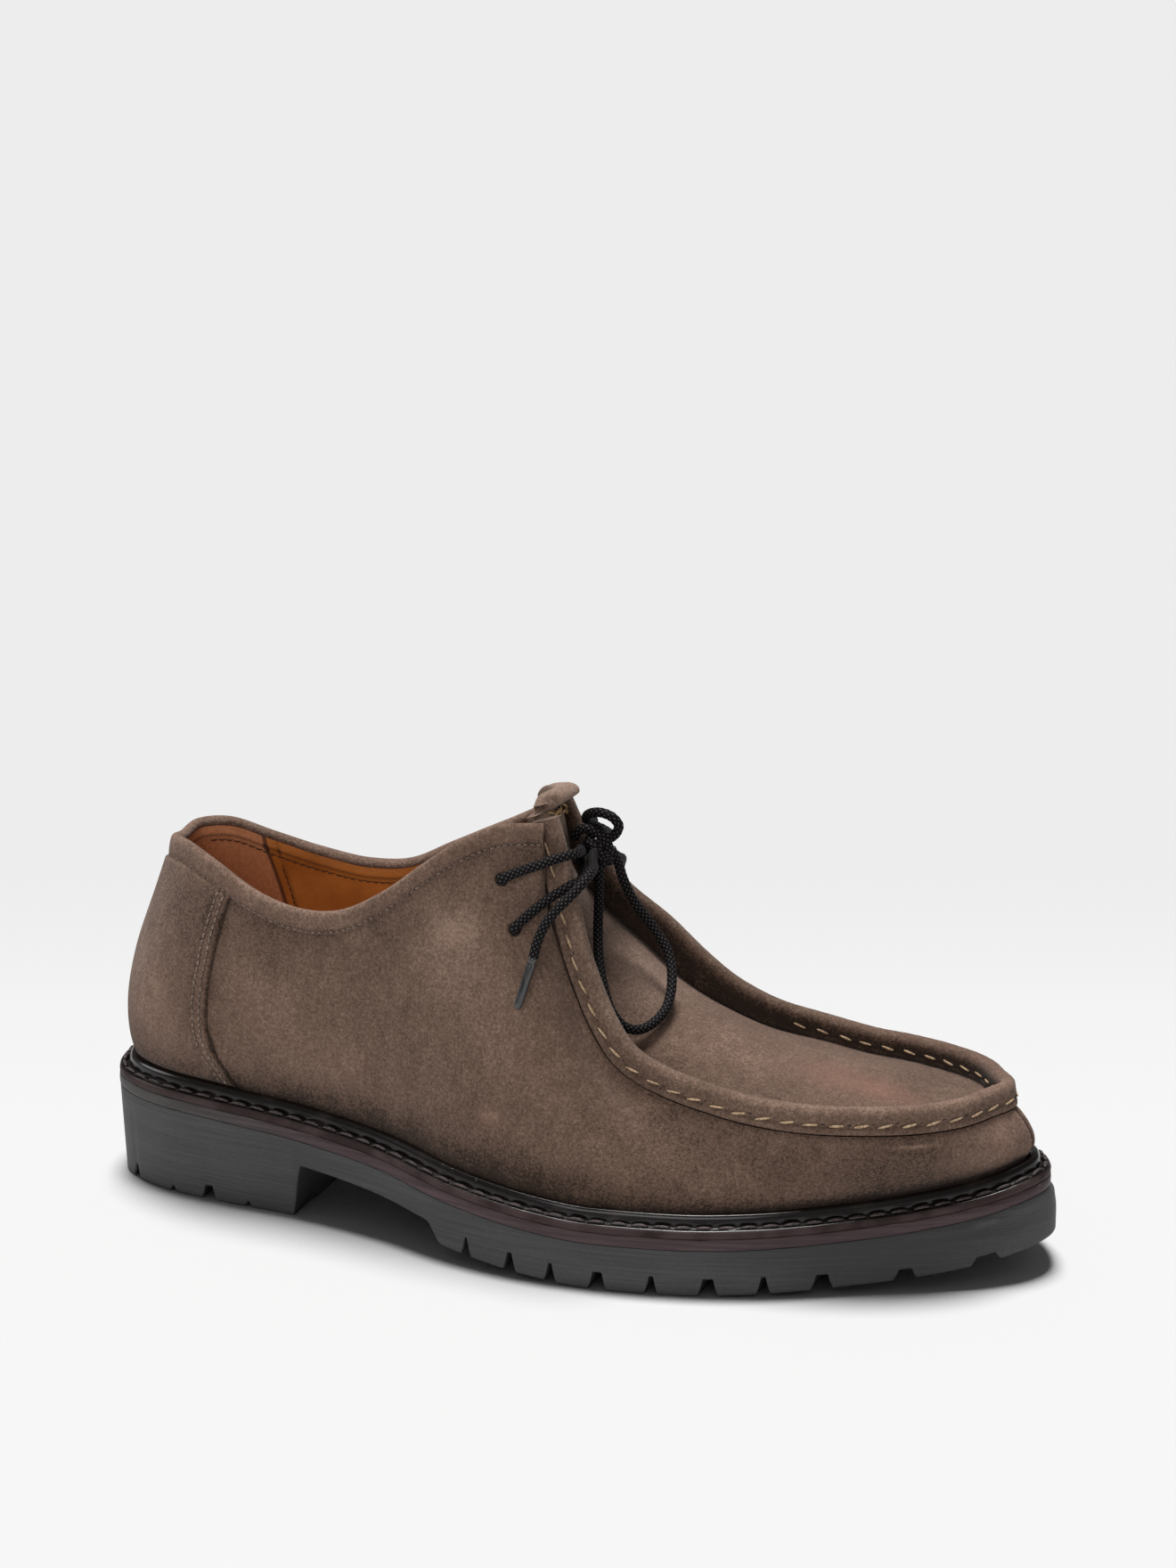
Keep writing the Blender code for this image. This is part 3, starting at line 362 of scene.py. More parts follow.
# Lace routes: along (share of LENGTH), out (share of half the apron width), lift
UPPER_BAR = (
    (0.4672, -0.904, 0.765),
    (0.4854, -0.890, 0.800),
    (0.5039, -0.870, 0.830),
    (0.5187, -0.811, 0.852),
    (0.5301, -0.713, 0.860),
    (0.5338, -0.608, 0.855),
    (0.5308, -0.479, 0.840),
    (0.5230, -0.296, 0.818),
    (0.5156, -0.141, 0.798),
    (0.5123, 0.014, 0.787),
    (0.5106, 0.169, 0.782),
    (0.5069, 0.366, 0.789),
    (0.5015, 0.507, 0.800),
    (0.4971, 0.614, 0.805),
    (0.4908, 0.715, 0.791),
    (0.4787, 0.817, 0.751),
    (0.4618, 0.879, 0.702),
    (0.4420, 0.918, 0.651),
)
LOWER_BAR = (
    (0.4850, -1.000, 0.592),
    (0.4948, -0.986, 0.631),
    (0.5062, -0.958, 0.672),
    (0.5190, -0.896, 0.712),
    (0.5331, -0.786, 0.746),
    (0.5392, -0.665, 0.754),
    (0.5358, -0.535, 0.761),
    (0.5264, -0.338, 0.761),
    (0.5170, -0.155, 0.760),
    (0.5133, 0.014, 0.759),
    (0.5116, 0.169, 0.755),
    (0.5109, 0.366, 0.743),
    (0.5103, 0.507, 0.738),
    (0.5089, 0.631, 0.730),
    (0.5062, 0.746, 0.698),
    (0.4961, 0.879, 0.640),
    (0.4807, 0.963, 0.579),
    (0.4655, 1.000, 0.524),
)
LARGE_LOOP = (
    (0.5412, 0.042, 0.785),
    (0.5466, 0.096, 0.720),
    (0.5499, 0.146, 0.650),
    (0.5587, 0.214, 0.552),
    (0.5775, 0.262, 0.447),
    (0.5950, 0.225, 0.356),
    (0.6057, 0.070, 0.271),
    (0.6094, -0.141, 0.198),
    (0.6050, -0.338, 0.163),
    (0.5950, -0.507, 0.150),
    (0.5825, -0.608, 0.174),
    (0.5701, -0.625, 0.233),
    (0.5593, -0.546, 0.303),
    (0.5466, -0.375, 0.381),
    (0.5375, -0.197, 0.461),
    (0.5331, -0.079, 0.570),
    (0.5324, -0.045, 0.677),
    (0.5331, -0.045, 0.760),
)
SMALL_LOOP = (
    (0.5429, -0.008, 0.836),
    (0.5496, -0.025, 0.862),
    (0.5526, -0.039, 0.896),
    (0.5466, -0.062, 0.930),
    (0.5351, -0.056, 0.942),
    (0.5237, -0.017, 0.932),
    (0.5150, 0.051, 0.908),
    (0.5109, 0.146, 0.874),
    (0.5139, 0.245, 0.842),
    (0.5220, 0.290, 0.822),
    (0.5304, 0.248, 0.814),
    (0.5334, 0.163, 0.816),
    (0.5331, 0.073, 0.824),
)
LATERAL_END = (
    (0.5304, -0.135, 0.791),
    (0.5358, -0.296, 0.782),
    (0.5439, -0.465, 0.782),
    (0.5492, -0.648, 0.787),
    (0.5479, -0.794, 0.769),
    (0.5385, -0.918, 0.723),
    (0.5271, -1.006, 0.673),
    (0.5183, -1.070, 0.616),
    (0.5129, -1.110, 0.557),
    (0.5099, -1.132, 0.500),
)
MEDIAL_END = (
    (0.5277, 0.068, 0.790),
    (0.5284, 0.225, 0.748),
    (0.5291, 0.394, 0.710),
    (0.5284, 0.549, 0.673),
    (0.5250, 0.693, 0.647),
    (0.5170, 0.839, 0.593),
    (0.5089, 0.952, 0.510),
    (0.5035, 1.037, 0.427),
    (0.4995, 1.093, 0.350),
)
KNOT = (0.5324, -0.028, 0.813)

# Aglet: share of its length, share of its radius
AGLET_PROFILE = (
    (0.00, 0.60),
    (0.00, 0.98),
    (0.02, 1.04),
    (0.06, 1.03),
    (0.08, 0.94),
    (0.12, 0.93),
    (0.15, 1.00),
    (0.60, 0.99),
    (0.90, 0.96),
    (0.97, 0.88),
    (1.00, 0.60),
    (1.00, 0.10),
)

# Turns of the knot, in millimetres from its middle: to the right, up and towards the photograph's camera
KNOT_ARCH = (
    (-7.6, 1.4, -1.0),
    (-7.2, 2.8, -0.2),
    (-6.0, 4.0, 0.4),
    (-4.5, 4.4, 1.0),
    (-2.8, 4.1, 1.7),
    (-0.9, 3.2, 2.2),
    (0.9, 1.7, 2.4),
    (2.2, -0.2, 2.0),
    (2.7, -2.2, 1.1),
    (1.8, -3.8, 0.2),
)
KNOT_BAND = (
    (-1.6, 3.2, -1.6),
    (-2.9, 2.0, 0.4),
    (-2.9, 0.2, 1.9),
    (-1.8, -1.4, 2.5),
    (-0.2, -2.6, 2.2),
    (1.6, -3.4, 1.0),
    (2.6, -4.6, -0.4),
    (2.4, -6.0, -1.2),
)
KNOT_UNDER = (
    (-4.2, -0.6, -1.0),
    (-2.6, -2.0, 0.2),
    (-0.6, -3.6, 0.8),
    (0.8, -5.0, 0.2),
    (0.8, -6.4, -0.8),
)

# Suede rubs, scuffs, painted shade: where (shoe millimetres), reach along, across and up in millimetres,
# shade, warmth
RUBS_AND_SHADE = (
    ((123, -33, 99), (9, 25, 7), 0.30, 0.00),
    ((130, -36, 88), (9, 25, 9), 0.13, 0.00),
    ((153, -44, 67), (16, 25, 11), 0.11, 0.04),
    ((60, -32, 64), (15, 20, 11), 0.12, 0.08),
    ((61, -30, 88), (22, 22, 9), -0.17, 0.00),
    ((105, -32, 97), (10, 20, 9), -0.07, 0.00),
    ((20, -26, 60), (14, 24, 14), 0.16, 0.12),
    ((29, -21, 98), (18, 24, 13), -0.12, 0.00),
    ((140, -47, 47), (4, 20, 2.5), 0.24, 0.30),
    ((110, -36, 75), (0.8, 20, 3.5), -0.25, 0.00),
    ((90, -34, 51), (16, 20, 7), 0.10, 0.08),
    # painted shade low on the wall at the toe, beside the welt (this row and the next)
    ((246, -33, 38), (28, 22, 8), -0.16, 0.00),
    ((268, -20, 32), (24, 24, 6), -0.24, 0.00),
    ((286, -6, 45), (7, 14, 9), 0.24, 0.20),
    ((265, -25, 45.5), (5, 20, 0.6), 0.50, 0.10),
    # painted shade on the front of the lateral wall, and in the next row on the heel patch
    ((205, -44, 45), (36, 25, 14), -0.10, 0.00),
    ((34, -30, 82), (9, 20, 22), -0.12, 0.00),
    ((262, -28, 47), (14, 20, 8), -0.06, 0.00),
)
# Rubs, pink scuffs and a painted highlight on the apron and tongue, in the same columns
PLUG_RUBS_AND_HIGHLIGHT = (
    ((247, -5, 54), (15, 6, 20), 0.08, 0.50),
    ((232, 2, 56), (10, 7, 20), 0.04, 0.40),
    ((207, 2, 61), (30, 16, 20), 0.13, 0.08),
    ((173, 9, 75), (15, 12, 16), 0.20, 0.00),
    ((165, -4, 80), (8, 9, 10), -0.14, 0.00),
    ((190, -19, 60), (18, 6, 12), -0.12, 0.00),
    # painted highlight on the top of the tongue's roll
    ((150, 0, 130), (16, 30, 11), 0.72, 0.00),
)
# Soft folds of the upper: where, reach and depth in millimetres
FOLDS = (
    ((176, -46, 62), (9, 30, 14), 0.7),
    ((196, -48, 52), (7, 30, 12), 0.5),
    ((96, -38, 84), (10, 30, 12), 0.6),
    ((116, -38, 90), (8, 30, 10), -0.5),
    ((186, 46, 62), (9, 30, 14), 0.7),
    ((206, 46, 52), (7, 30, 12), 0.5),
    ((44, -34, 66), (8, 30, 16), 0.4),
)

# Stitch rows: pitch, thickness of the thread, share of the pitch that a stitch takes, how far it sinks in
# (share of the thickness), unevenness, seed of its random draws, slant
STITCHES = {
    "lining_stitches": (0.0024, 0.00055, 0.72, 0.00, 0.06, 61, 0.00),
    "lining_seam_stitches": (0.0024, 0.00045, 0.72, 0.00, 0.06, 62, 0.00),
    "collar_stitches": (0.0021, 0.00060, 0.72, -0.05, 0.06, 4, 0.00),
    "counter_stitches_front": (0.0022, 0.00065, 0.72, 0.00, 0.06, 21, 0.00),
    "counter_stitches_rear": (0.0022, 0.00065, 0.72, 0.00, 0.06, 22, 0.00),
    "seam_stitches": (0.0071, 0.00080, 0.66, 0.10, 0.05, 31, 0.16),
    "seam_inner_stitches": (0.0070, 0.00080, 0.60, 0.10, 0.05, 32, -0.14),
    "tongue_stitches_upper": (0.0034, 0.00090, 0.95, -0.20, 0.26, 41, 0.00),
    "tongue_stitches_lower": (0.0040, 0.00090, 0.95, -0.20, 0.26, 42, 0.00),
    "welt_stitches": (0.0064, 0.00125, 0.84, 0.05, 0.03, 53, 0.00),
}

# Colours of the suede
SUEDE_DARK = (0.034, 0.021, 0.015)
SUEDE_MIDDLE = (0.144, 0.090, 0.065)
SUEDE_LIGHT = (0.330, 0.224, 0.170)
SUEDE_PINK = (0.270, 0.135, 0.100)


# Curves and tables
def table(rows):
    """Monotone cubic curves through the rows' columns, as one function of the first column."""
    rows = np.array(rows, float)
    x, y = rows[:, 0], rows[:, 1:]
    step = np.diff(x)[:, None]
    slope = np.diff(y, axis=0) / step
    tangent = np.zeros_like(y)
    same_sign = slope[:-1] * slope[1:] > 0
    mean = (slope[:-1] + slope[1:]) / 2
    limit = 3 * np.minimum(abs(slope[:-1]), abs(slope[1:]))
    tangent[1:-1] = np.where(same_sign, np.sign(mean) * np.minimum(abs(mean), limit), 0)
    tangent[0], tangent[-1] = slope[0], slope[-1]

    def read(at):
        at = np.clip(np.asarray(at, float), x[0], x[-1])
        i = np.clip(np.searchsorted(x, at, side="right") - 1, 0, len(x) - 2)
        t = ((at - x[i]) / step[i, 0])[..., None]
        h = step[i]
        value = (2 * t**3 - 3 * t**2 + 1) * y[i] + (t**3 - 2 * t**2 + t) * h * tangent[i]
        value += (3 * t**2 - 2 * t**3) * y[i + 1] + (t**3 - t**2) * h * tangent[i + 1]
        return np.moveaxis(value, -1, 0)

    return read


SPLINE_STEPS = 24


def spline(points, dense=SPLINE_STEPS):
    """A dense polyline of the centripetal spline through the points."""
    points = np.array(points, float)
    first, last = 2 * points[0] - points[1], 2 * points[-1] - points[-2]
    p = np.vstack([first, points, last])
    knots = np.concatenate([[0], np.cumsum(np.linalg.norm(np.diff(p, axis=0), axis=1) ** 0.5)])
    out = []
    for i in range(1, len(p) - 2):
        k0, k1, k2, k3 = knots[i - 1 : i + 3]
        t = np.linspace(k1, k2, dense, endpoint=False)[:, None]
        a1 = (k1 - t) / (k1 - k0) * p[i - 1] + (t - k0) / (k1 - k0) * p[i]
        a2 = (k2 - t) / (k2 - k1) * p[i] + (t - k1) / (k2 - k1) * p[i + 1]
        a3 = (k3 - t) / (k3 - k2) * p[i + 1] + (t - k2) / (k3 - k2) * p[i + 2]
        b1 = (k2 - t) / (k2 - k0) * a1 + (t - k0) / (k2 - k0) * a2
        b2 = (k3 - t) / (k3 - k1) * a2 + (t - k1) / (k3 - k1) * a3
        out.append((k2 - t) / (k2 - k1) * b1 + (t - k1) / (k2 - k1) * b2)
    return np.vstack(out + [points[-1:]])


def run_of(line):
    """Distance along a polyline at each of its points."""
    return np.concatenate([[0], np.cumsum(np.linalg.norm(np.diff(line, axis=0), axis=1))])


def at_shares(line, shares):
    """Points of a polyline at shares of its length."""
    run = run_of(line)
    return np.stack([np.interp(shares, run / run[-1], line[:, i]) for i in range(line.shape[1])], axis=1)


def unit(v):
    return v / np.maximum(np.linalg.norm(v, axis=-1, keepdims=True), 1e-12)


def smoothstep(value, start, end):
    t = np.clip((value - start) / (end - start), 0, 1)
    return t * t * (3 - 2 * t)


def ridge(distance, width):
    """1 at distance 0, falling to 0 as a bell of that half width."""
    return np.exp(-((distance / width) ** 2))


def ripple(points, wave, seed):
    """Smooth noise from -1 to 1: a few sine waves of that length in directions drawn from the seed."""
    draw = np.random.default_rng(seed)
    total = np.zeros(points.shape[:-1])
    for _ in range(7):
        direction = unit(draw.normal(size=3))
        length = wave * draw.uniform(0.7, 1.6)
        total += np.sin(points @ direction * (2 * math.pi / length) + draw.uniform(0, 2 * math.pi))
    return total / 4.0


# The shoe's own lines
def outline_side(column, sign):
    """One side of the welt's outline in plan, from the back of the heel to the tip of the toe."""
    points = [(0.0, 0.0)]
    for row in OUTLINE:
        half = (HEEL_WIDTH + (BALL_WIDTH - HEEL_WIDTH) * smoothstep(row[0], 0.25, 0.60)) / 2
        points.append((row[0] * LENGTH, sign * row[column] * half))
    points.append((LENGTH, TOE_TIP * BALL_WIDTH / 2))
    return points


def outline_lines():
    """Dense plan lines of the lateral side (heel to toe) and the medial side (toe to heel)."""
    lateral = outline_side(1, -1)
    closed = lateral + outline_side(2, 1)[::-1][1:-1]
    line = spline(closed[-3:] + closed + closed[:4])
    start, toe, end = (SPLINE_STEPS * (3 + k) for k in (0, len(lateral) - 1, len(closed)))
    return line[start : toe + 1], line[toe : end + 1]


def turned_out(line):
    """Directions square to a plan line, away from the shoe."""
    along = unit(np.gradient(line, axis=0))
    return np.stack([along[:, 1], -along[:, 0]], axis=1)


LATERAL_LINE, MEDIAL_LINE = outline_lines()
SIDE_SHARES = np.concatenate([FACING_FOOT * COLLAR_STEPS, FACING_FOOT + (1 - FACING_FOOT) * SEAM_STEPS[1:]])
NEAR_PLAN = at_shares(LATERAL_LINE, SIDE_SHARES)
FAR_PLAN = at_shares(MEDIAL_LINE, 1 - SIDE_SHARES[::-1])
PLAN = np.vstack([NEAR_PLAN[:-1], FAR_PLAN[:-1]])
OUTWARD = unit(np.roll(PLAN, -1, axis=0) - np.roll(PLAN, 1, axis=0))[:, ::-1] * (1, -1)
COUNT = len(PLAN)
HALF = COUNT // 2
COLLAR_COUNT = len(COLLAR_STEPS)
SIDE_PLACE = np.concatenate([FACING_PLACE * COLLAR_STEPS, FACING_PLACE + (1 - FACING_PLACE) * SEAM_STEPS[1:]])
PLACE = np.concatenate([SIDE_PLACE[:-1], SIDE_PLACE[::-1][:-1]])
RISE_AT = table(RISE)
LEDGE_AT_BALL = LUG_HEIGHT + PLATE_THICKNESS + MIDSOLE_THICKNESS + WELT_THICKNESS + 2 * GAP
SEAT = LEDGE_AT_BALL + HEEL_RISE
TOE_LEVEL = LEDGE_AT_BALL + TOE_HEIGHT
FACING_LEVEL = SEAT + TOPLINE_LATERAL[-1][2] * BACK_HEIGHT + INSTEP_RISE
MIDSOLE_TOP = -WELT_THICKNESS - GAP
RUBBER_TOP = MIDSOLE_TOP - MIDSOLE_THICKNESS - GAP


def rise(x):
    """Height that the seat and the toe spring add at a distance x from the back."""
    heel, toe = RISE_AT(np.asarray(x) / LENGTH)
    return HEEL_RISE * heel + TOE_SPRING * toe


def toe_flare(x):
    return TOE_FLARE * smoothstep(x, 0.80 * LENGTH, LENGTH)


def middle_of_sole():
    """Middle of the sole's box in plan, below which the frame has its origin."""
    line = np.vstack([LATERAL_LINE, MEDIAL_LINE])
    flared = line + turned_out(line) * toe_flare(line[:, :1])
    both = np.vstack([line, flared])
    return (both.min(axis=0) + both.max(axis=0)) / 2


CENTRE = middle_of_sole()


def plan_sides():
    """Lateral and medial side from the rearmost to the foremost point: plan and outward direction."""
    closed = np.vstack([LATERAL_LINE[:-1], MEDIAL_LINE[:-1]])
    along = unit(np.roll(closed, -1, axis=0) - np.roll(closed, 1, axis=0))
    both = np.column_stack([closed, along[:, 1], -along[:, 0]])
    both = np.roll(both, -np.argmin(closed[:, 0]), axis=0)
    front = np.argmax(both[:, 0])
    return both[: front + 1], np.vstack([both[front:], both[:1]])[::-1]


LATERAL_SIDE, MEDIAL_SIDE = plan_sides()


def put(points):
    """Shoe coordinates to the frame."""
    return np.asarray(points, float) - (*CENTRE, 0.0)


def ring(inset, height):
    """The stations, moved in by inset and lifted to the ledge's height plus height."""
    z = LEDGE_AT_BALL + rise(PLAN[:, 0]) + height
    return np.column_stack([PLAN - OUTWARD * inset, z])


def crest_line(rows, sign):
    """The seam's crest from the tongue to the middle of the toe."""
    span = FACING_LEVEL - TOE_LEVEL
    points = [
        (along * LENGTH, sign * out * APRON_WIDTH / 2, TOE_LEVEL + lift * (span - 0.0005))
        for along, out, lift in rows
    ]
    along, out, lift = CREST_TOE
    return points + [(along * LENGTH, -out * APRON_WIDTH / 2, TOE_LEVEL + lift * span)]


def crest_stations():
    """Crest points from the lateral side of the tongue round the toe, with the outward and up directions."""
    lateral = crest_line(CREST_LATERAL, -1)
    line = spline(lateral + crest_line(CREST_MEDIAL, 1)[-2::-1])
    toe = (len(lateral) - 1) * SPLINE_STEPS
    shares = np.concatenate([FREE_STEPS, RIDGE_FREE + (1 - RIDGE_FREE) * SEAM_STEPS])
    near = at_shares(line[: toe + 1], shares)
    path = np.vstack([near, at_shares(line[toe:], 1 - shares[::-1])[1:]])
    along = unit(np.gradient(path, axis=0))
    plan = np.column_stack([along[:, 1], -along[:, 0], np.zeros(len(path))])
    side = np.zeros_like(plan)
    side[:, 1] = np.where(np.arange(len(path)) < len(near), -1, 1)
    steep = smoothstep(abs(along[:, 2]), 0.30, 0.75)[:, None]
    outward = unit(unit(plan) * (1 - steep) + side * steep)
    outward = unit(outward - along * np.sum(outward * along, axis=1, keepdims=True))
    share = np.interp(shares, (0, RIDGE_FREE, 1), (0, 1 / 24, 1))
    return path, outward, np.cross(outward, along), np.concatenate([share, share[::-1][1:]])


CREST, CREST_OUT, CREST_UP, CREST_SHARE = crest_stations()
TIP = len(FREE_STEPS) + len(SEAM_STEPS) - 1
FREE = len(FREE_STEPS)


def wall_edge():
    """Top edge of the upper's front part, from the lateral corner round the toe to the medial corner."""
    below, beside = table(WALL_EDGE)(np.concatenate([SEAM_STEPS, SEAM_STEPS[::-1][1:]]))
    inner = slice(FREE, -FREE)
    shift = -CREST_UP[inner] * (below * RIDGE_HEIGHT + GAP)[:, None]
    return CREST[inner] + shift + CREST_OUT[inner] * (beside * RIDGE_THICKNESS)[:, None]


def topline_side(rows, sign, corner):
    """Topline of one side, from the back to the corner of the facing."""
    points = []
    for along, out, back, instep in (TOPLINE_BACK,) + rows:
        height = SEAT + back * BACK_HEIGHT + instep * INSTEP_RISE
        points.append((along * LENGTH, sign * out * COLLAR_WIDTH / 2, height))
    return points + [tuple(corner)]


def topline_stations():
    """Topline from the lateral corner round the back to the medial corner."""
    edge = wall_edge()
    lift = np.array([0, 0, BINDING_HEIGHT + GAP])
    lateral = topline_side(TOPLINE_LATERAL, -1, edge[0] + lift)
    medial = topline_side(TOPLINE_MEDIAL, 1, edge[-1] + lift)
    line = spline(lateral[::-1] + medial[1:])
    back = (len(lateral) - 1) * SPLINE_STEPS
    near = at_shares(line[: back + 1], 1 - COLLAR_STEPS[::-1])
    return np.vstack([near, at_shares(line[back:], COLLAR_STEPS)[1:]])


TOPLINE = topline_stations()
TOPLINE_ALONG = unit(np.gradient(TOPLINE, axis=0))
LEAN = unit(np.column_stack([-TOPLINE_ALONG[:, 1], TOPLINE_ALONG[:, 0], np.zeros(len(TOPLINE))]))
TOPLINE_STEPS = np.concatenate([COLLAR_STEPS[::-1], COLLAR_STEPS[1:]])  # 1 at both facings, 0 at the back
BINDING_TAPER = 0.52 + 0.48 * smoothstep((1 - TOPLINE_STEPS) * 17, 0.0, 4.0)  # thinner at both facings


def upper_top():
    """Top edge of the upper at every station, from the back of the heel round the shoe."""
    collar = TOPLINE - np.array([0, 0, BINDING_HEIGHT + GAP])
    lateral = collar[:COLLAR_COUNT][::-1]
    medial = collar[COLLAR_COUNT - 1 :][::-1]
    return np.vstack([lateral[:-1], wall_edge(), medial[1:-1]])


UPPER_TOP = upper_top()


def wall(shares):
    """Outer face of the upper: at each station a cubic Bezier from the bead (0) to the top edge (1)."""
    start = ring(LEDGE_WIDTH + BEAD_WIDTH + GAP, BEAD_HEIGHT)
    low, high = table(WALL_BELLY)(PLACE)
    out = np.column_stack([OUTWARD, np.zeros(COUNT)])
    lift = (UPPER_TOP - start)[:, 2:] * np.array([[0, 0, 1.0]])
    first = start + out * (low * BELLY)[:, None] + lift * 0.30
    second = UPPER_TOP + out * (high * BELLY)[:, None] - lift * 0.28
    v = np.asarray(shares, float)[:, None, None]
    low_half = (1 - v) ** 3 * start + 3 * (1 - v) ** 2 * v * first
    return low_half + 3 * (1 - v) * v**2 * second + v**3 * UPPER_TOP


def inward(rows):
    """Directions into the shoe at every point of a wall, square to each station's own section."""
    up = np.gradient(rows, axis=0)
    leaning = np.sum(up[..., :2] * OUTWARD, axis=-1, keepdims=True)
    return unit(np.concatenate([-OUTWARD * up[..., 2:], leaning], axis=-1))


FACE = wall(WALL_STEPS)
FACE_IN = inward(FACE)
SKIVED = 1 - 0.5 * smoothstep(abs(PLACE * 40 - 19.0), 4.0, 1.5)


# Meshes
def surface(name, grid, finish, wrap=(False, False), ends=False, weld=False, marks=(), crisp=50):
    """A mesh of a grid of shoe points. wrap closes rows or columns, ends caps the first and last row, weld
    joins points that meet, marks are named values for the material, crisp is the edge angle that stays."""
    rows, columns = grid.shape[:2]
    index = np.arange(rows * columns).reshape(rows, columns)
    last = rows - (not wrap[0]), columns - (not wrap[1])
    i, j = (k.ravel() for k in np.meshgrid(np.arange(last[0]), np.arange(last[1]), indexing="ij"))
    steps = ((0, 0), (1, 0), (1, 1), (0, 1))
    quads = np.stack([index[(i + a) % rows, (j + b) % columns] for a, b in steps], axis=1)
    u = run_of(np.vstack([grid[:, 0], grid[:1, 0]]))
    v = run_of(np.vstack([grid[0], grid[0, :1]]))
    uv = np.stack([np.stack([u[i + a], v[j + b]], axis=1) for a, b in steps], axis=1)
    points = put(grid.reshape(-1, 3))
    corner = points[quads]
    middle = points.mean(axis=0)
    normal = np.cross(corner[:, 1] - corner[:, 0], corner[:, 3] - corner[:, 0])
    volume = np.sum(normal * (corner[:, 0] - middle))
    caps = [index[0], index[-1][::-1]] if ends else []
    if volume < 0:
        quads, uv, caps = quads[:, ::-1], uv[:, ::-1], [c[::-1] for c in caps]
    mesh = bpy.data.meshes.new(name)
    mesh.from_pydata(points.tolist(), [], quads.tolist() + [c.tolist() for c in caps])
    flat = np.zeros((len(mesh.loops), 2), np.float32)
    flat[: 4 * len(quads)] = uv.reshape(-1, 2)
    mesh.uv_layers.new(name="surface").data.foreach_set("uv", flat.ravel())
    for mark, values in dict(marks).items():
        layer = mesh.attributes.new(mark, "FLOAT", "POINT")
        layer.data.foreach_set("value", np.broadcast_to(values, (rows, columns)).astype(np.float32).ravel())
    if weld:
        work = bmesh.new()
        work.from_mesh(mesh)
        bmesh.ops.remove_doubles(work, verts=work.verts, dist=1e-6)
        bmesh.ops.recalc_face_normals(work, faces=work.faces)
        work.to_mesh(mesh)
        work.free()
    mesh.materials.append(finish)
    mesh.shade_smooth()
    mesh.set_sharp_from_angle(angle=math.radians(crisp))
    made = bpy.data.objects.new(name, mesh)
    bpy.context.scene.collection.objects.link(made)
    return made


def own(piece, slot, *nodes):
    """The piece rides on the shoe and stands for those nodes; slot is not used."""
    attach(piece, "root")
    if nodes:
        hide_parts(*nodes)
    return piece


def join(name, pieces):
    """One mesh of several."""
    base = pieces[0]
    with bpy.context.temp_override(active_object=base, selected_editable_objects=pieces):
        bpy.ops.object.join()
    base.name = name
    base.data.name = name
    return base


def grains(name, spots, along, up, length, width, height, finish, bend=0.0):
    """Many small rounded grains in one mesh: each is a ball stretched to length along the seam, width across
    it and height away from the leather, with its ends bent down by a share of its height."""
    rings, sides = 5, 8
    polar = np.linspace(0, math.pi, rings + 2)[1:-1]
    angle = np.linspace(0, 2 * math.pi, sides, endpoint=False)
    x = np.repeat(-np.cos(polar), sides)
    r = np.repeat(np.sin(polar) ** 0.7, sides)
    shape = np.column_stack([x, r * np.tile(np.cos(angle), rings), r * np.tile(np.sin(angle), rings)])
    shape = np.vstack([shape, (-1, 0, 0), (1, 0, 0)])
    shape[:, 2] -= bend * shape[:, 0] ** 2
    ring_index = np.arange(rings * sides).reshape(rings, sides)
    turned = np.roll(ring_index, -1, axis=1)
    quads = np.stack([ring_index[:-1], turned[:-1], turned[1:], ring_index[1:]], axis=-1).reshape(-1, 4)
    first, last = rings * sides, rings * sides + 1
    fans = [(first, b, a) for a, b in zip(ring_index[0], turned[0])]
    fans += [(last, a, b) for a, b in zip(ring_index[-1], turned[-1])]
    across = unit(np.cross(up, along))
    up = unit(np.cross(along, across))
    size = np.array([np.broadcast_to(s, len(spots)) for s in (length, width, height)]) / 2
    frames = np.stack([along * size[0][:, None], across * size[1][:, None], up * size[2][:, None]], axis=1)
    points = put((spots[:, None] + np.einsum("vk,nkc->nvc", shape, frames)).reshape(-1, 3))
    shift = np.arange(len(spots))[:, None, None] * len(shape)
    faces = (quads[None, :, ::-1] + shift).reshape(-1, 4).tolist()
    faces += (np.array(fans)[None, :, ::-1] + shift).reshape(-1, 3).tolist()
    mesh = bpy.data.meshes.new(name)
    mesh.from_pydata(points.tolist(), [], faces)
    mesh.materials.append(finish)
    mesh.shade_smooth()
    made = bpy.data.objects.new(name, mesh)
    bpy.context.scene.collection.objects.link(made)
    return made


def sew(kind, path, up, finish, slot, part=""):
    """One of the STITCHES rows along a path on the leather, whose outward directions are up: a grain of
    thread for each stitch, and between them a dark grain in each needle hole, a painted shade."""
    pitch, thread, share, sink, jitter, seed, slant = STITCHES[kind]
    name = kind + part
    run = run_of(path)
    count = int(run[-1] / pitch)
    draw = np.random.default_rng(seed)
    at = (np.arange(count) + 0.5 + draw.uniform(-jitter, jitter, count)) * run[-1] / count
    spot = np.column_stack([np.interp(at, run, path[:, i]) for i in range(3)])
    ahead = np.column_stack([np.interp(at + pitch / 4, run, path[:, i]) for i in range(3)])
    normal = unit(np.column_stack([np.interp(at, run, up[:, i]) for i in range(3)]))
    onward = unit(ahead - spot)
    along = unit(onward + np.cross(normal, onward) * (slant + draw.normal(0, jitter, (count, 1))))
    lift = normal * thread * (0.5 - sink)
    size = thread * draw.uniform(0.9, 1.1, count)
    stitches = grains(name, spot + lift, along, normal, pitch * share, size, size * 0.8, finish, 0.6)
    # a dark grain in each needle hole: painted shade
    hole = spot + along * pitch / 2 - normal * thread * 0.25
    hole_shade = grains(name + "_hole_shade", hole, along, normal, pitch * 0.26, thread * 0.95, thread * 0.8, HOLE_SHADE)
    own(stitches, slot)
    own(hole_shade, slot)


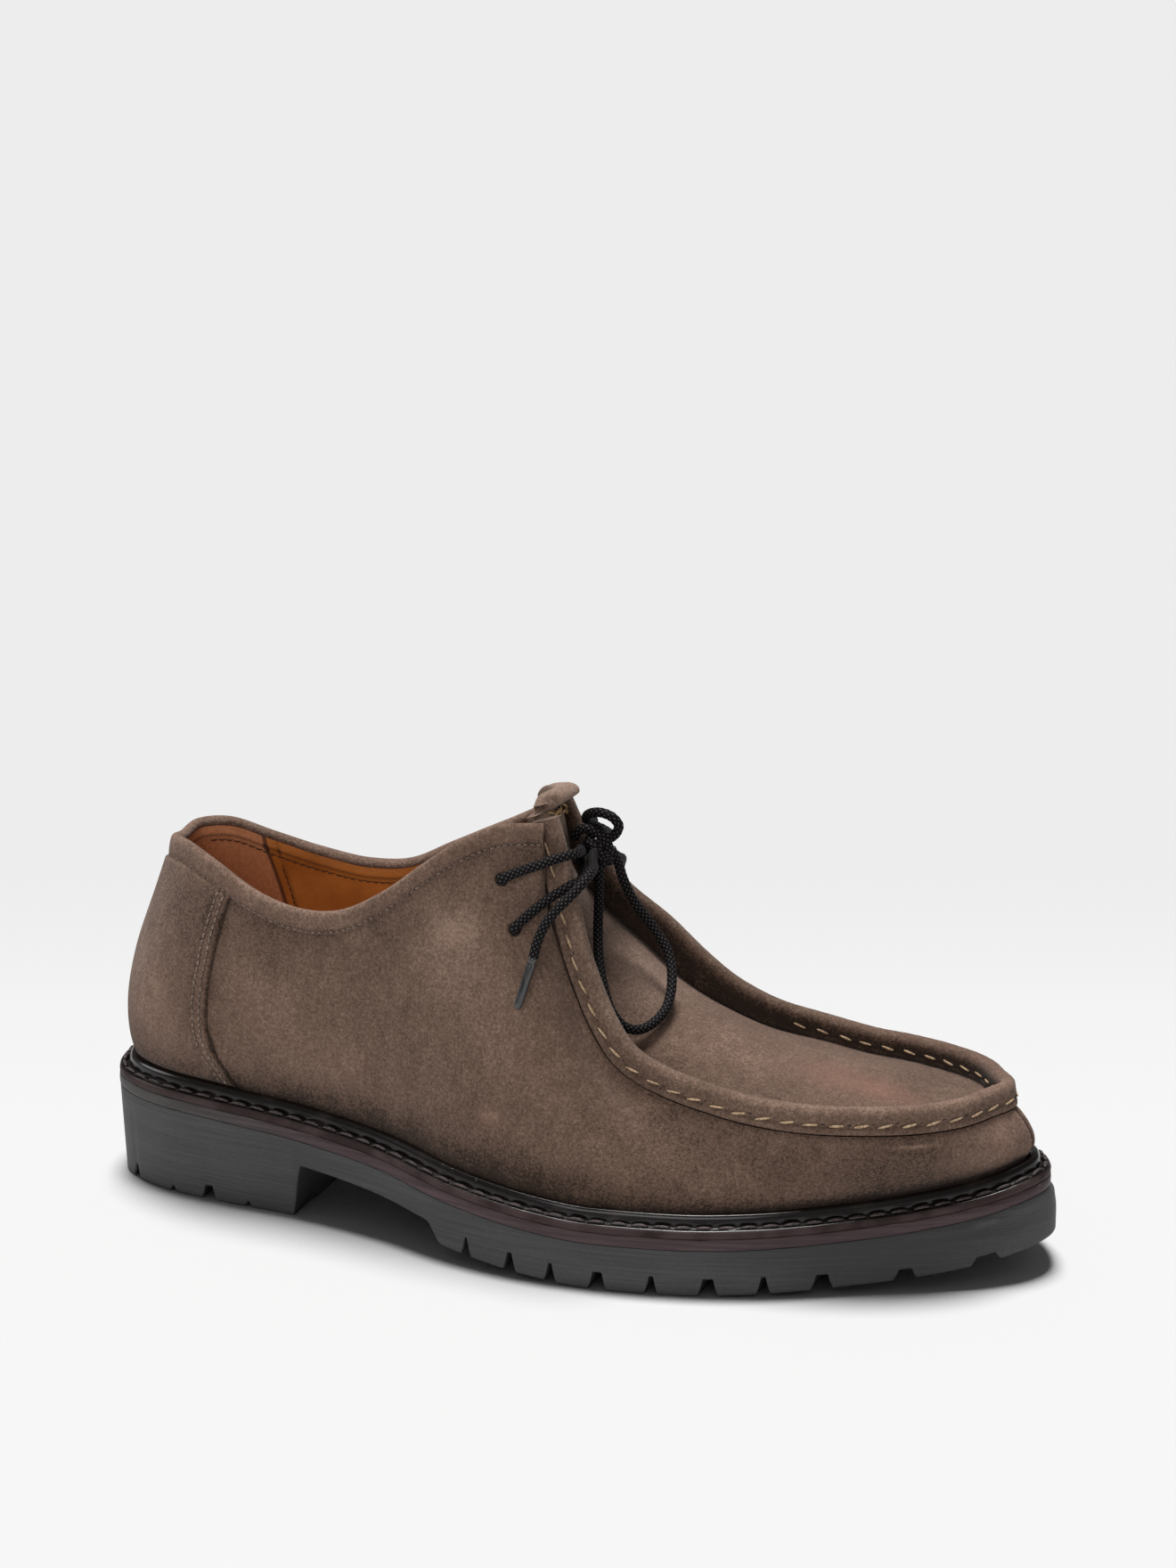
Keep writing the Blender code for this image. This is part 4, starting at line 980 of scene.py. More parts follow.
# Materials
class Value:
    """A socket's number. Operators add Math nodes."""

    def __init__(self, finish, socket):
        self.finish = finish
        self.socket = socket

    def math(self, operation, *others):
        made = self.finish.tree.nodes.new("ShaderNodeMath")
        made.operation = operation
        for slot, value in enumerate((self,) + others):
            self.finish.feed(made.inputs[slot], value)
        return Value(self.finish, made.outputs[0])

    def __add__(self, other):
        return self.math("ADD", other)

    def __sub__(self, other):
        return self.math("SUBTRACT", other)

    def __rsub__(self, other):
        return self.math("MULTIPLY", -1.0).math("ADD", other)

    def __mul__(self, other):
        return self.math("MULTIPLY", other)

    __radd__ = __add__
    __rmul__ = __mul__

    def band(self, start, end):
        """0 below start, 1 above end, smooth between."""
        settings = {"interpolation_type": "SMOOTHSTEP"}
        values = {"Value": self, "From Min": start, "From Max": end}
        return self.finish.node("ShaderNodeMapRange", settings, values)


class Finish:
    """A material and the nodes that its shader takes."""

    def __init__(self, name, **constants):
        self.material = bpy.data.materials.new(name)
        self.material.use_nodes = True
        self.tree = self.material.node_tree
        self.shader = self.tree.nodes["Principled BSDF"]
        for key, value in constants.items():
            self.shader.inputs[key.replace("_", " ").title().replace("Ior", "IOR")].default_value = value
        self.place = self.node("ShaderNodeTexCoord", output="Object")

    def feed(self, socket, value):
        if isinstance(value, Value):
            self.tree.links.new(value.socket, socket)
        else:
            socket.default_value = value

    def node(self, kind, settings=(), values=(), output=0):
        """Any node: its settings first, then the values or links of its sockets."""
        made = self.tree.nodes.new(kind)
        for key, value in dict(settings).items():
            setattr(made, key, value)
        for key, value in dict(values).items():
            self.feed(made.inputs[key], value)
        return Value(self, made.outputs[output])

    def noise(self, scale, detail=2.0, stretch=(1.0, 1.0, 1.0), roughness=0.5, place=None):
        """Noise with so many features per metre."""
        place = self.node("ShaderNodeMapping", values={"Vector": place or self.place, "Scale": stretch})
        values = {"Vector": place, "Scale": scale, "Detail": detail, "Roughness": roughness}
        return self.node("ShaderNodeTexNoise", values=values)

    def attribute(self, name):
        return self.node("ShaderNodeAttribute", {"attribute_name": name}, output="Fac")

    def mix(self, factor, first, second):
        """Colour between two colours."""
        first, second = ((*c, 1.0) if isinstance(c, tuple) else c for c in (first, second))
        return self.node("ShaderNodeMix", {"data_type": "RGBA"}, {0: factor, 6: first, 7: second}, 2)

    def surface(self, colour, roughness=None, height=None, depth=0.0002, strength=1.0):
        self.feed(self.shader.inputs["Base Color"], colour)
        if roughness is not None:
            self.feed(self.shader.inputs["Roughness"], roughness)
        if height is not None:
            values = {"Height": height, "Distance": depth, "Strength": strength}
            self.feed(self.shader.inputs["Normal"], self.node("ShaderNodeBump", values=values))
        return self.material


def suede():
    """Napped split leather: fine grain and cloudy mottling between dark, middle and light brown. The piece's
    shade mark, with rubs, scuffs, painted shade and painted highlights, moves it towards dark or light, its
    warmth towards pink, and the mark for pits, painted shade in eyelets and seam grooves, to black."""
    finish = Finish("suede", roughness=0.95, specular_ior_level=0.10, sheen_weight=0.10, sheen_roughness=0.5)
    fine = finish.noise(2600, 2, roughness=0.6)
    grain = finish.noise(1050, 3, roughness=0.65)
    nap = finish.noise(330, 3, stretch=(1.0, 1.0, 0.45))
    cloud = finish.noise(85, 4)
    patch = finish.noise(24, 3)
    texture = fine.band(0.34, 0.66) * 0.28 + grain.band(0.34, 0.66) * 0.30 + nap.band(0.25, 0.75) * 0.12
    tone = texture + cloud.band(0.25, 0.75) * 0.12 + patch.band(0.25, 0.75) * 0.13 + 0.06
    tone = tone + finish.attribute("shade")
    low = finish.mix(tone.band(-0.05, 0.55), SUEDE_DARK, SUEDE_MIDDLE)
    colour = finish.mix(tone.band(0.45, 1.15), low, SUEDE_LIGHT)
    colour = finish.mix(finish.attribute("warmth") * (cloud * 0.8 + 0.6), colour, SUEDE_PINK)
    # painted shade: black in the eyelets and the toe seam's groove
    colour = finish.mix(finish.attribute("pit_shade"), colour, (0.006, 0.005, 0.005))
    return finish.surface(colour, height=fine * 0.5 + grain * 1.0 + nap * 0.7, depth=0.0008, strength=0.7)


def lining():
    """Tan leather: smooth at the sides, matt and browner behind the seam, whose distance in millimetres is
    the from_seam mark, with a painted shadow along the seam line and painted shade at the edge of the strip
    beside it."""
    finish = Finish("lining", coat_weight=0.12, coat_roughness=0.4)
    grain = finish.noise(900, 3)
    patch = finish.noise(70, 3)
    from_seam = finish.attribute("from_seam")
    heel = from_seam.band(0.6, -0.6)
    side = finish.mix(patch.band(0.3, 0.7), (0.400, 0.118, 0.017), (0.560, 0.190, 0.035))
    back = finish.mix(grain.band(0.3, 0.7), (0.520, 0.205, 0.085), (0.640, 0.265, 0.120))
    colour = finish.mix(heel, side, back)
    # Painted shadow beside the raised strip, painted shade at its stitched edge, and the painted shade of the
    # mark for pits
    joint_shadow = from_seam.band(-1.4, -0.2) * from_seam.band(1.0, 0.2)
    edge = from_seam.band(2.8, 3.6) * from_seam.band(4.6, 3.8)
    dark = joint_shadow * 0.75 + edge * 0.35 + finish.attribute("pit_shade")
    colour = finish.mix(dark.band(0.0, 1.0), colour, (0.060, 0.018, 0.008))
    rough = heel * 0.4 + grain * 0.15 + 0.38
    return finish.surface(colour, roughness=rough, height=grain + patch * 2.0, depth=0.0002)


def welt_leather():
    """Black, waxed and polished, with a fine grain and a few dull rubs."""
    finish = Finish("welt", coat_roughness=0.18, specular_ior_level=0.15)
    grain = finish.noise(700, 3)
    rub = finish.noise(90, 4)
    dull = rub.band(0.50, 0.75)
    black = finish.mix(dull, (0.0060, 0.0042, 0.0036), (0.024, 0.017, 0.015))
    side = finish.mix(rub.band(0.35, 0.65), (0.026, 0.014, 0.014), (0.060, 0.038, 0.038))
    colour = finish.mix(finish.attribute("side"), black, side)
    rough = finish.attribute("side") * 0.30 + dull * 0.12 + 0.30
    finish.feed(finish.shader.inputs["Coat Weight"], (1 - finish.attribute("side")) * 0.55)
    return finish.surface(colour, roughness=rough, height=grain * finish.attribute("side"), depth=0.00008)


def midsole_leather():
    """Stained leather edge, burgundy in front and as dark as the rubber at the heel, with layered streaks."""
    finish = Finish("midsole", specular_ior_level=0.3)
    streak = finish.noise(45, 4, stretch=(1.0, 1.0, 22.0))
    grain = finish.noise(1100, 3)
    red = finish.mix(streak.band(0.3, 0.7), (0.040, 0.023, 0.025), (0.074, 0.045, 0.048))
    grey = finish.mix(streak.band(0.3, 0.7), (0.042, 0.036, 0.035), (0.066, 0.060, 0.058))
    colour = finish.mix(finish.attribute("heel"), red, grey)
    return finish.surface(colour, roughness=grain * 0.25 + 0.40, height=streak + grain * 0.5, depth=0.00015)


def rubber():
    """Moulded rubber, its side sanded in fine level streaks, darker or lighter by the piece's shade mark."""
    finish = Finish("rubber", specular_ior_level=0.25)
    streak = finish.noise(28, 5, stretch=(1.0, 1.0, 55.0), roughness=0.62)
    broad = finish.noise(16, 3, stretch=(1.0, 1.0, 5.0))
    fine = finish.noise(1500, 3)
    tone = streak * 0.50 + broad * 0.35 + fine * 0.20 + finish.attribute("shade") * 0.5
    colour = finish.mix(tone.band(0.28, 0.85), (0.040, 0.040, 0.041), (0.098, 0.098, 0.101))
    rough = streak * 0.30 + fine * 0.12 + 0.38
    return finish.surface(colour, roughness=rough, height=streak * 1.2 + fine * 0.5, depth=0.00018)


def insole_leather():
    """Undyed leather sock, matt."""
    finish = Finish("sock", roughness=0.7)
    grain = finish.noise(800, 3)
    cloud = finish.noise(60, 3)
    colour = finish.mix(cloud.band(0.3, 0.7), (0.270, 0.100, 0.035), (0.380, 0.150, 0.060))
    return finish.surface(colour, height=grain, depth=0.00015)


def lace_braid():
    """Waxed black braid: its raised threads carry a painted highlight and are shinier than the grooves
    between them.
    """
    finish = Finish("lace", specular_ior_level=0.10)
    weave = finish.attribute("weave")
    fluff = finish.noise(2500, 3)
    # painted highlight on the raised threads
    light = (weave * 0.9 + fluff * 0.1).band(0.55, 0.85)
    colour = finish.mix(light, (0.0046, 0.0036, 0.0036), (0.085, 0.079, 0.079))
    rough = 0.72 - weave * 0.25 + fluff * 0.1
    return finish.surface(colour, roughness=rough, height=fluff, depth=0.00012)


def aglet_plastic():
    """Glossy tip with faint moulding lines."""
    finish = Finish("aglet", coat_weight=0.6, coat_roughness=0.08)
    line = finish.noise(900, 2, stretch=(1.0, 1.0, 0.2))
    colour = finish.mix(line.band(0.3, 0.7), (0.016, 0.016, 0.017), (0.034, 0.034, 0.036))
    return finish.surface(colour, roughness=line * 0.15 + 0.18, height=line, depth=0.00003)


def thread(name, dark, light, roughness=0.6):
    """Waxed sewing thread, twisted."""
    finish = Finish(name)
    twist = finish.noise(1700, 2)
    colour = finish.mix(twist.band(0.35, 0.65), dark, light)
    return finish.surface(colour, roughness=twist * 0.2 + roughness, height=twist, depth=0.0002)


FINISH = {
    "suede": suede(),
    "lining_leather": lining(),
    "welt_leather": welt_leather(),
    "midsole_leather": midsole_leather(),
    "rubber": rubber(),
    "sock": insole_leather(),
    "lace_cord": lace_braid(),
    "aglet_plastic": aglet_plastic(),
}
# painted shade for each needle hole
HOLE_SHADE = thread("needle_hole_shade", (0.016, 0.010, 0.008), (0.030, 0.019, 0.015), 0.75)
BEIGE = thread("beige_thread", (0.300, 0.190, 0.105), (0.590, 0.420, 0.265))
BROWN = thread("brown_thread", (0.060, 0.039, 0.030), (0.230, 0.163, 0.126))
BLACK = thread("black_thread", (0.012, 0.008, 0.008), (0.072, 0.050, 0.049), 0.45)
GOLD = thread("gold_thread", (0.300, 0.170, 0.060), (0.600, 0.390, 0.160))
COCOA = thread("cocoa_thread", (0.090, 0.059, 0.045), (0.310, 0.225, 0.175))
TAN = thread("tan_thread", (0.060, 0.018, 0.006), (0.150, 0.050, 0.016))


# Camera and laces
def make_camera():
    """Camera at the photograph's angle and distance."""
    a, e = math.radians(CAMERA_AZIMUTH), math.radians(CAMERA_ELEVATION)
    back = Vector((math.sin(a) * math.cos(e), -math.cos(a) * math.cos(e), math.sin(e)))
    camera = bpy.data.objects.new("camera", bpy.data.cameras.new("camera"))
    bpy.context.scene.collection.objects.link(camera)
    camera.data.sensor_width = SENSOR
    camera.data.lens = FOCAL_PIXELS * SENSOR / PHOTO_HEIGHT
    camera.location = CAMERA_AT
    camera.rotation_mode = "QUATERNION"
    camera.rotation_quaternion = (-back).to_track_quat("-Z", "Y")
    bpy.context.scene.camera = camera


def over_apron(rows):
    """Route points given as along, out and lift, in shoe coordinates."""
    rows = np.array(rows)
    span = FACING_LEVEL - TOE_LEVEL
    return rows * (LENGTH, APRON_WIDTH / 2, span) + (0, 0, TOE_LEVEL)


def in_view(rows):
    """Knot points given in millimetres to the right, up and towards the photograph's camera."""
    a, e = math.radians(CAMERA_AZIMUTH), math.radians(CAMERA_ELEVATION)
    right = (math.cos(a), math.sin(a), 0)
    up = (-math.sin(a) * math.sin(e), math.cos(a) * math.sin(e), math.cos(e))
    near = (math.sin(a) * math.cos(e), -math.cos(a) * math.cos(e), math.sin(e))
    return over_apron(KNOT) + np.array(rows) * MM @ np.array([right, up, near])


def braid(name, route, diameter=LACE_DIAMETER, spacing=0.00028, sides=28):
    """A round braid along a route: the radius swells where six strands pass over each other, with
    chevrons every half pitch: |cos| of the angle plus the run, times that of the angle minus the run."""
    line = spline(route, 40)
    length = run_of(line)[-1]
    count = int(length / spacing)
    path = at_shares(line, np.linspace(0, 1, count))
    along = unit(np.gradient(path, axis=0))
    side = np.cross(along[0], (0.0, 0.0, 1.0))
    across = np.empty_like(path)
    for k, direction in enumerate(along):
        side = unit(side - direction * (side @ direction))
        across[k] = side
    upward = np.cross(across, along)
    angle = np.linspace(0, 2 * math.pi, sides, endpoint=False)
    run = np.linspace(0, length, count)[:, None] * (2 * math.pi / BRAID_PITCH)
    weave = abs(np.cos(3 * angle + run)) * abs(np.cos(3 * angle - run))
    radius = diameter / 2 * (0.945 + 0.085 * weave)
    circle = across[:, None] * np.cos(angle)[:, None] + upward[:, None] * np.sin(angle)[:, None]
    grid = path[:, None] + circle * radius[..., None]
    marks = {"weave": weave}
    made = surface(name, grid, FINISH["lace_cord"], (False, True), ends=True, marks=marks, crisp=80)
    return made, path


def aglet(name, path):
    """Crimped tip on the lace's line: a tube that swells from the crimp and closes at its end."""
    direction = unit(path[-1] - path[-30])
    start = path[-1] + direction * 0.0001
    side = unit(np.cross(direction, (0.0, 0.0, 1.0)))
    upward = np.cross(side, direction)
    share, swell = np.array(AGLET_PROFILE).T
    angle = np.linspace(0, 2 * math.pi, 32, endpoint=False)
    circle = side * np.cos(angle)[:, None] + upward * np.sin(angle)[:, None]
    middle = start + direction * (share * AGLET_LENGTH)[:, None]
    grid = middle[:, None] + circle * (swell * AGLET_DIAMETER / 2)[:, None, None]
    return surface(name, grid, FINISH["aglet_plastic"], (False, True), ends=True, crisp=60)


EYELETS = []


def through_eyelet(route, end):
    """The route's bar goes on through the leather at one end: down into the hole and behind it."""
    tip, before = (route[0], route[1]) if end == 0 else (route[-1], route[-2])
    spread = np.linalg.norm(FACE - tip, axis=-1)
    row, station = np.unravel_index(np.argmin(spread), spread.shape)
    into = FACE_IN[row, station]
    onward = unit(tip - before)
    at = tip + onward * 0.0004 + into * 0.0004
    hidden = [at + into * 0.0016 + onward * 0.0009, at + into * 0.0044 + onward * 0.0010]
    EYELETS.append(FACE[row, station] + onward * 0.0014)
    return np.vstack([hidden[::-1], route]) if end == 0 else np.vstack([route, hidden])


def make_laces():
    """Bars from eyelet to eyelet, the knot's turns, two loops and two ends with their tips."""
    bars = (("lace_top_bar", UPPER_BAR, ("lace_bars",)), ("lace_low_bar", LOWER_BAR, ()))
    for name, rows, nodes in bars:
        route = through_eyelet(through_eyelet(over_apron(rows), 0), 1)
        bar, _ = braid(name, route)
        own(bar, "lace_cord", *nodes)
    turns = enumerate((KNOT_ARCH, KNOT_BAND, KNOT_UNDER))
    knot = join("knot_turns", [braid(f"turn_{k}", in_view(rows))[0] for k, rows in turns])
    own(knot, "lace_cord", "lace_knot")
    loops = (("large_loop", LARGE_LOOP, LARGE_LOOP_LENGTH), ("small_loop", SMALL_LOOP, SMALL_LOOP_LENGTH))
    for name, rows, length in loops:
        loop, path = braid(name, over_apron(rows))
        own(loop, "lace_cord", "lace_loop_" + name.split("_")[0])
    ends = (("lateral", LATERAL_END, LATERAL_END_LENGTH), ("medial", MEDIAL_END, MEDIAL_END_LENGTH))
    for side, rows, length in ends:
        loose, path = braid(side + "_end", over_apron(rows))
        tip = own(aglet(side + "_tip", path), "aglet_plastic", "aglet_" + side)
        own(loose, "lace_cord", "lace_end_" + side)


# Upper
def marked(points, rows, column):
    """Sum of soft spots: each row's value in that column times a bell of its reach."""
    total = np.zeros(points.shape[:-1])
    for row in rows:
        away = (points / MM - row[0]) / np.array(row[1], float)
        total += row[column] * np.exp(-np.sum(away**2, axis=-1))
    return total


def toe_seam_distance():
    """Distance of each point of the wall from the seam down the middle of the toe."""
    return np.linalg.norm(FACE - FACE[:, HALF : HALF + 1], axis=-1)


def make_upper():
    """Vamp side and quarters: the wall with its folds, eyelets and toe seam, down to the midsole."""
    away = toe_seam_distance()
    depth = marked(FACE, FOLDS, 2) * MM + 0.00012 * ripple(FACE, 0.022, 3)
    depth += 0.00075 * ridge(away, 0.0006) - 0.00040 * ridge(away - 0.0021, 0.0012)
    # Painted shade: black in the toe seam's groove and inside each eyelet
    pit_shade = 0.75 * ridge(away, 0.00045)
    for eyelet in EYELETS:
        near = np.linalg.norm(FACE - eyelet, axis=-1)
        hollow = 1 - smoothstep(near, EYELET_RADIUS * 0.72, EYELET_RADIUS)
        depth += hollow * 0.00045 - 0.00020 * ridge(near - EYELET_RADIUS * 1.25, 0.0007)
        pit_shade = np.maximum(pit_shade, 1 - smoothstep(near, EYELET_RADIUS * 0.78, EYELET_RADIUS * 1.05))
    # Painted shade beside the welt (foot), below the top edge (hem) and in the toe seam; painted highlight on
    # its lips
    foot = smoothstep(WALL_STEPS, 0.30, 0.0)[:, None]
    hem = smoothstep(WALL_STEPS, 0.93, 1.0)[:, None]
    shade = marked(FACE, RUBS_AND_SHADE, 2) - 0.44 * foot**2 - 0.12 * hem - 0.30 * ridge(away, 0.0009)
    shade += 0.06 * ridge(away - 0.0028, 0.0016) + 0.05 * ripple(FACE, 0.03, 8)
    warmth = np.clip(marked(FACE, RUBS_AND_SHADE, 3), 0, 1)
    depth *= np.minimum(1, 8 * (1 - WALL_STEPS))[:, None]
    outer = FACE + FACE_IN * depth[..., None]
    keep = np.r_[0 : len(WALL_STEPS) : 3, len(WALL_STEPS) - 1]  # rows of the inner face
    collar = smoothstep(PLACE, 0.46, 0.40)
    thick = WALL * SKIVED * (1 - (1 - SUEDE_SHARE) * collar)
    inner = FACE[keep] + FACE_IN[keep] * thick[:, None]
    foot_height = MIDSOLE_TOP + GAP
    inset = LEDGE_WIDTH + BEAD_WIDTH + GAP
    hem_out, hem_in = ring(inset, foot_height), ring(inset + thick[:, None], foot_height)
    grid = np.concatenate([hem_out[None], outer, inner[::-1], hem_in[None]])
    rest = len(inner) + 1

    def padded(values, first, fill):
        return np.concatenate([np.full((1, COUNT), first), values, np.full((rest, COUNT), fill)])

    # the bottom row, at the midsole, gets painted shade
    marks = {"shade": padded(shade, -0.2, 0.0), "warmth": padded(warmth, 0, 0), "pit_shade": padded(pit_shade, 0, 0)}
    upper = surface("suede_upper", grid, FINISH["suede"], (True, True), marks=marks, crisp=60)
    own(upper, "suede", "upper")


def make_lining():
    """Lining of the quarters, from facing to facing: inside the suede, up to the underside of the binding.
    The heel part is browner; painted shade draws a groove below the top band and darkens both front ends."""
    short = 5
    order = np.r_[COLLAR_COUNT - 1 - short : 0 : -1, 0, COUNT - 1 : COUNT - COLLAR_COUNT + short : -1]
    half = len(order) // 2
    inner_line = slice(short, 2 * COLLAR_COUNT - 1 - short)
    topline, lean = TOPLINE[inner_line], LEAN[inner_line]
    rows = np.linspace(0, len(WALL_STEPS) - 1, 40).astype(int)
    face, inner = FACE[rows][:, order], FACE_IN[rows][:, order]
    thick = (WALL * SKIVED[order])[:, None]
    outside = face + inner * (thick * SUEDE_SHARE + 0.00005)
    inside = face + inner * (thick + 0.0001)
    taper = BINDING_TAPER[inner_line][:, None]
    down = np.array([0, 0, BINDING_HEIGHT])
    edges = [topline - lean * BINDING_THICKNESS * taper * out for out in (0.34, 0.60)]
    bands = [[edge - down * low for low in (0.92, 0.75, 0.6, 0.45, 0.34)] for edge in edges]
    grid = np.concatenate([outside, bands[0], bands[1][::-1], inside[::-1]])
    height = topline[None, :, 2] - grid[..., 2]
    from_seam = grid[..., 0] - LINING_SEAM - LINING_SEAM_SLANT * height
    # Painted shade: a dark line for the groove below the top band, and dark ends beside the facings
    facing = smoothstep((1 - TOPLINE_STEPS[inner_line]) * 17, 4.5, 2.5)
    pit_shade = np.clip(0.75 * ridge(height - 0.0062, 0.00045) + facing, 0, 1)
    marks = {"from_seam": from_seam.T / MM, "pit_shade": pit_shade.T}
    grid = np.swapaxes(grid, 0, 1)
    leather = FINISH["lining_leather"]
    own(surface("quarter_lining", grid, leather, (False, True), True, False, marks, 60), "lining_leather")
    top = inside[-1] * 0.965 + inside[-4] * 0.035
    far = slice(half + 8, len(order) - 14)
    path, up = top[far] + inner[-1][far] * 0.0001, inner[-1][far]
    sew("lining_stitches", path, up, TAN, "lining_leather")
    spots, away = inside[14:-2, half:], inner[14:-2, half:]
    distance = spots[..., 0] - LINING_SEAM - LINING_SEAM_SLANT * (topline[None, half:, 2] - spots[..., 2])
    column = np.array([np.interp(0.0030, row, np.arange(len(row))) for row in distance])
    left = column.astype(int)
    share, row = (column - left)[:, None], np.arange(len(spots))
    path = spots[row, left] * (1 - share) + spots[row, left + 1] * share + away[row, left] * 0.0001
    sew("lining_seam_stitches", path, away[row, left], TAN, "lining_leather")


def make_binding():
    """Folded strip round the collar: a soft rounded profile carried along the topline, thin at both ends."""
    profile = spline(BINDING_PROFILE, 4)
    out = LEAN[:, None] * (profile[:, 0] * BINDING_THICKNESS)[:, None] * BINDING_TAPER[:, None, None]
    down = np.zeros((len(profile), 3))
    down[:, 2] = profile[:, 1] * BINDING_HEIGHT
    lean = BACK_LEAN * ridge(TOPLINE_STEPS, 0.35)[:, None] * (0.6 - profile[:, 1])
    grid = TOPLINE[:, None] + out - down - LEAN[:, None] * lean[..., None]
    swell = 0.00010 * ripple(grid, 0.012, 5)
    grid = grid + LEAN[:, None] * swell[..., None]
    # Painted highlight on the top of the roll and painted shade on its lower outer face
    low = smoothstep(profile[:, 1], 0.70, 1.0) * (profile[:, 0] > 0)
    shade = 0.16 * ridge(profile[:, 1] - 0.05, 0.28) - 0.12 * low + 0.05 * ripple(grid, 0.02, 6)
    marks = {"shade": shade, "warmth": 0.06, "pit_shade": 0.0}
    strip = surface("collar_strip", grid, FINISH["suede"], (False, True), ends=True, marks=marks)
    own(strip, "suede", "collar_binding")
    path = TOPLINE + LEAN * 0.00028 - np.array([0, 0, BINDING_HEIGHT - 0.0001])
    sew("collar_stitches", path, LEAN, BROWN, "suede")


def counter_stations():
    """Fractional stations of the counter at each height: from its medial front edge round the back."""
    shares = np.union1d(np.linspace(0.004, 1.0, 46), (0.012, 0.96, 0.97, 0.985))
    rows = wall(shares)
    normal = -inward(rows)
    (reach,) = table(COUNTER_EDGE)(shares) * COUNTER_REACH
    side = np.arange(HALF // 2)
    ends = np.array([
        [np.interp(x, row[sign * side, 0], side) for sign in (-1, 1)]
        for x, row in zip(reach, rows)
    ])
    step = np.linspace(-1, 1, 180)
    step = np.sign(step) * (1 - (1 - abs(step)) ** 1.5)
    at = np.where(step < 0, step * ends[:, :1], step * ends[:, 1:])
    stations = np.arange(-(HALF // 2), HALF // 2 + 1)

    def read(grid):
        lines = [[np.interp(a, stations, row[stations, i]) for i in range(3)] for a, row in zip(at, grid)]
        return np.moveaxis(np.array(lines), 1, 2)

    return shares, read(rows), unit(read(normal))


def make_counter():
    """Heel patch over the quarters, with a rolled front edge and two pressed seam channels behind it."""
    shares, face, out = counter_stations()
    between = np.linalg.norm(np.diff(face, axis=1), axis=2)
    run = np.concatenate([np.zeros((len(face), 1)), np.cumsum(between, axis=1)], axis=1)
    edge = np.minimum(run, run[:, -1:] - run)
    low = smoothstep(shares, 0.0, 0.02)[:, None]
    rolled = 0.30 + 0.70 * np.sqrt(np.clip(edge / 0.0009, 0, 1))
    thick = COUNTER_THICKNESS * rolled * (0.4 + 0.6 * low)
    thick = thick - 0.00012 * (ridge(edge - 0.0019, 0.0005) + ridge(edge - 0.0043, 0.0005))
    thick += 0.00010 * ripple(face, 0.02, 11)
    thick = thick * (0.25 + 0.75 * smoothstep(shares, 1.0, 0.975))[:, None]
    outer = face + out * (GAP + thick)[..., None]
    inner = face + out * GAP * 0.5
    # Painted shade along the front edge, behind the rear channel and low beside the welt; painted highlight
    # on the raised leather between the channels, plus the marks table
    shade = marked(outer, RUBS_AND_SHADE, 2) - 0.30 * ridge(edge, 0.0005) + 0.06 * ridge(edge - 0.0031, 0.0009)
    shade = shade - 0.34 * smoothstep(shares, 0.30, 0.0)[:, None] ** 2 - 0.08 * ridge(edge - 0.0055, 0.001)
    grid = np.concatenate([outer, inner[::-1]])
    both = np.concatenate([shade, shade[::-1]])
    warmth = np.clip(marked(grid, RUBS_AND_SHADE, 3), 0, 1)
    marks = {"shade": both.T, "warmth": warmth.T, "pit_shade": 0.0}
    patch = surface("heel_patch", np.swapaxes(grid, 0, 1), FINISH["suede"], (False, True), True, marks=marks)
    own(patch, "suede", "heel_counter")
    rows = slice(2, -1)
    level = np.arange(len(shares))
    middle = face.shape[1] // 2
    sides = (("_medial", slice(0, middle)), ("_lateral", slice(face.shape[1], middle - 1, -1)))
    for kind, offset in (("counter_stitches_front", 0.0019), ("counter_stitches_rear", 0.0043)):
        for side, part in sides:
            column = np.argmin(abs(edge[:, part] - offset), axis=1)
            path, up = outer[:, part][level, column][rows], out[:, part][level, column][rows]
            sew(kind, path, up, COCOA, "suede", side)


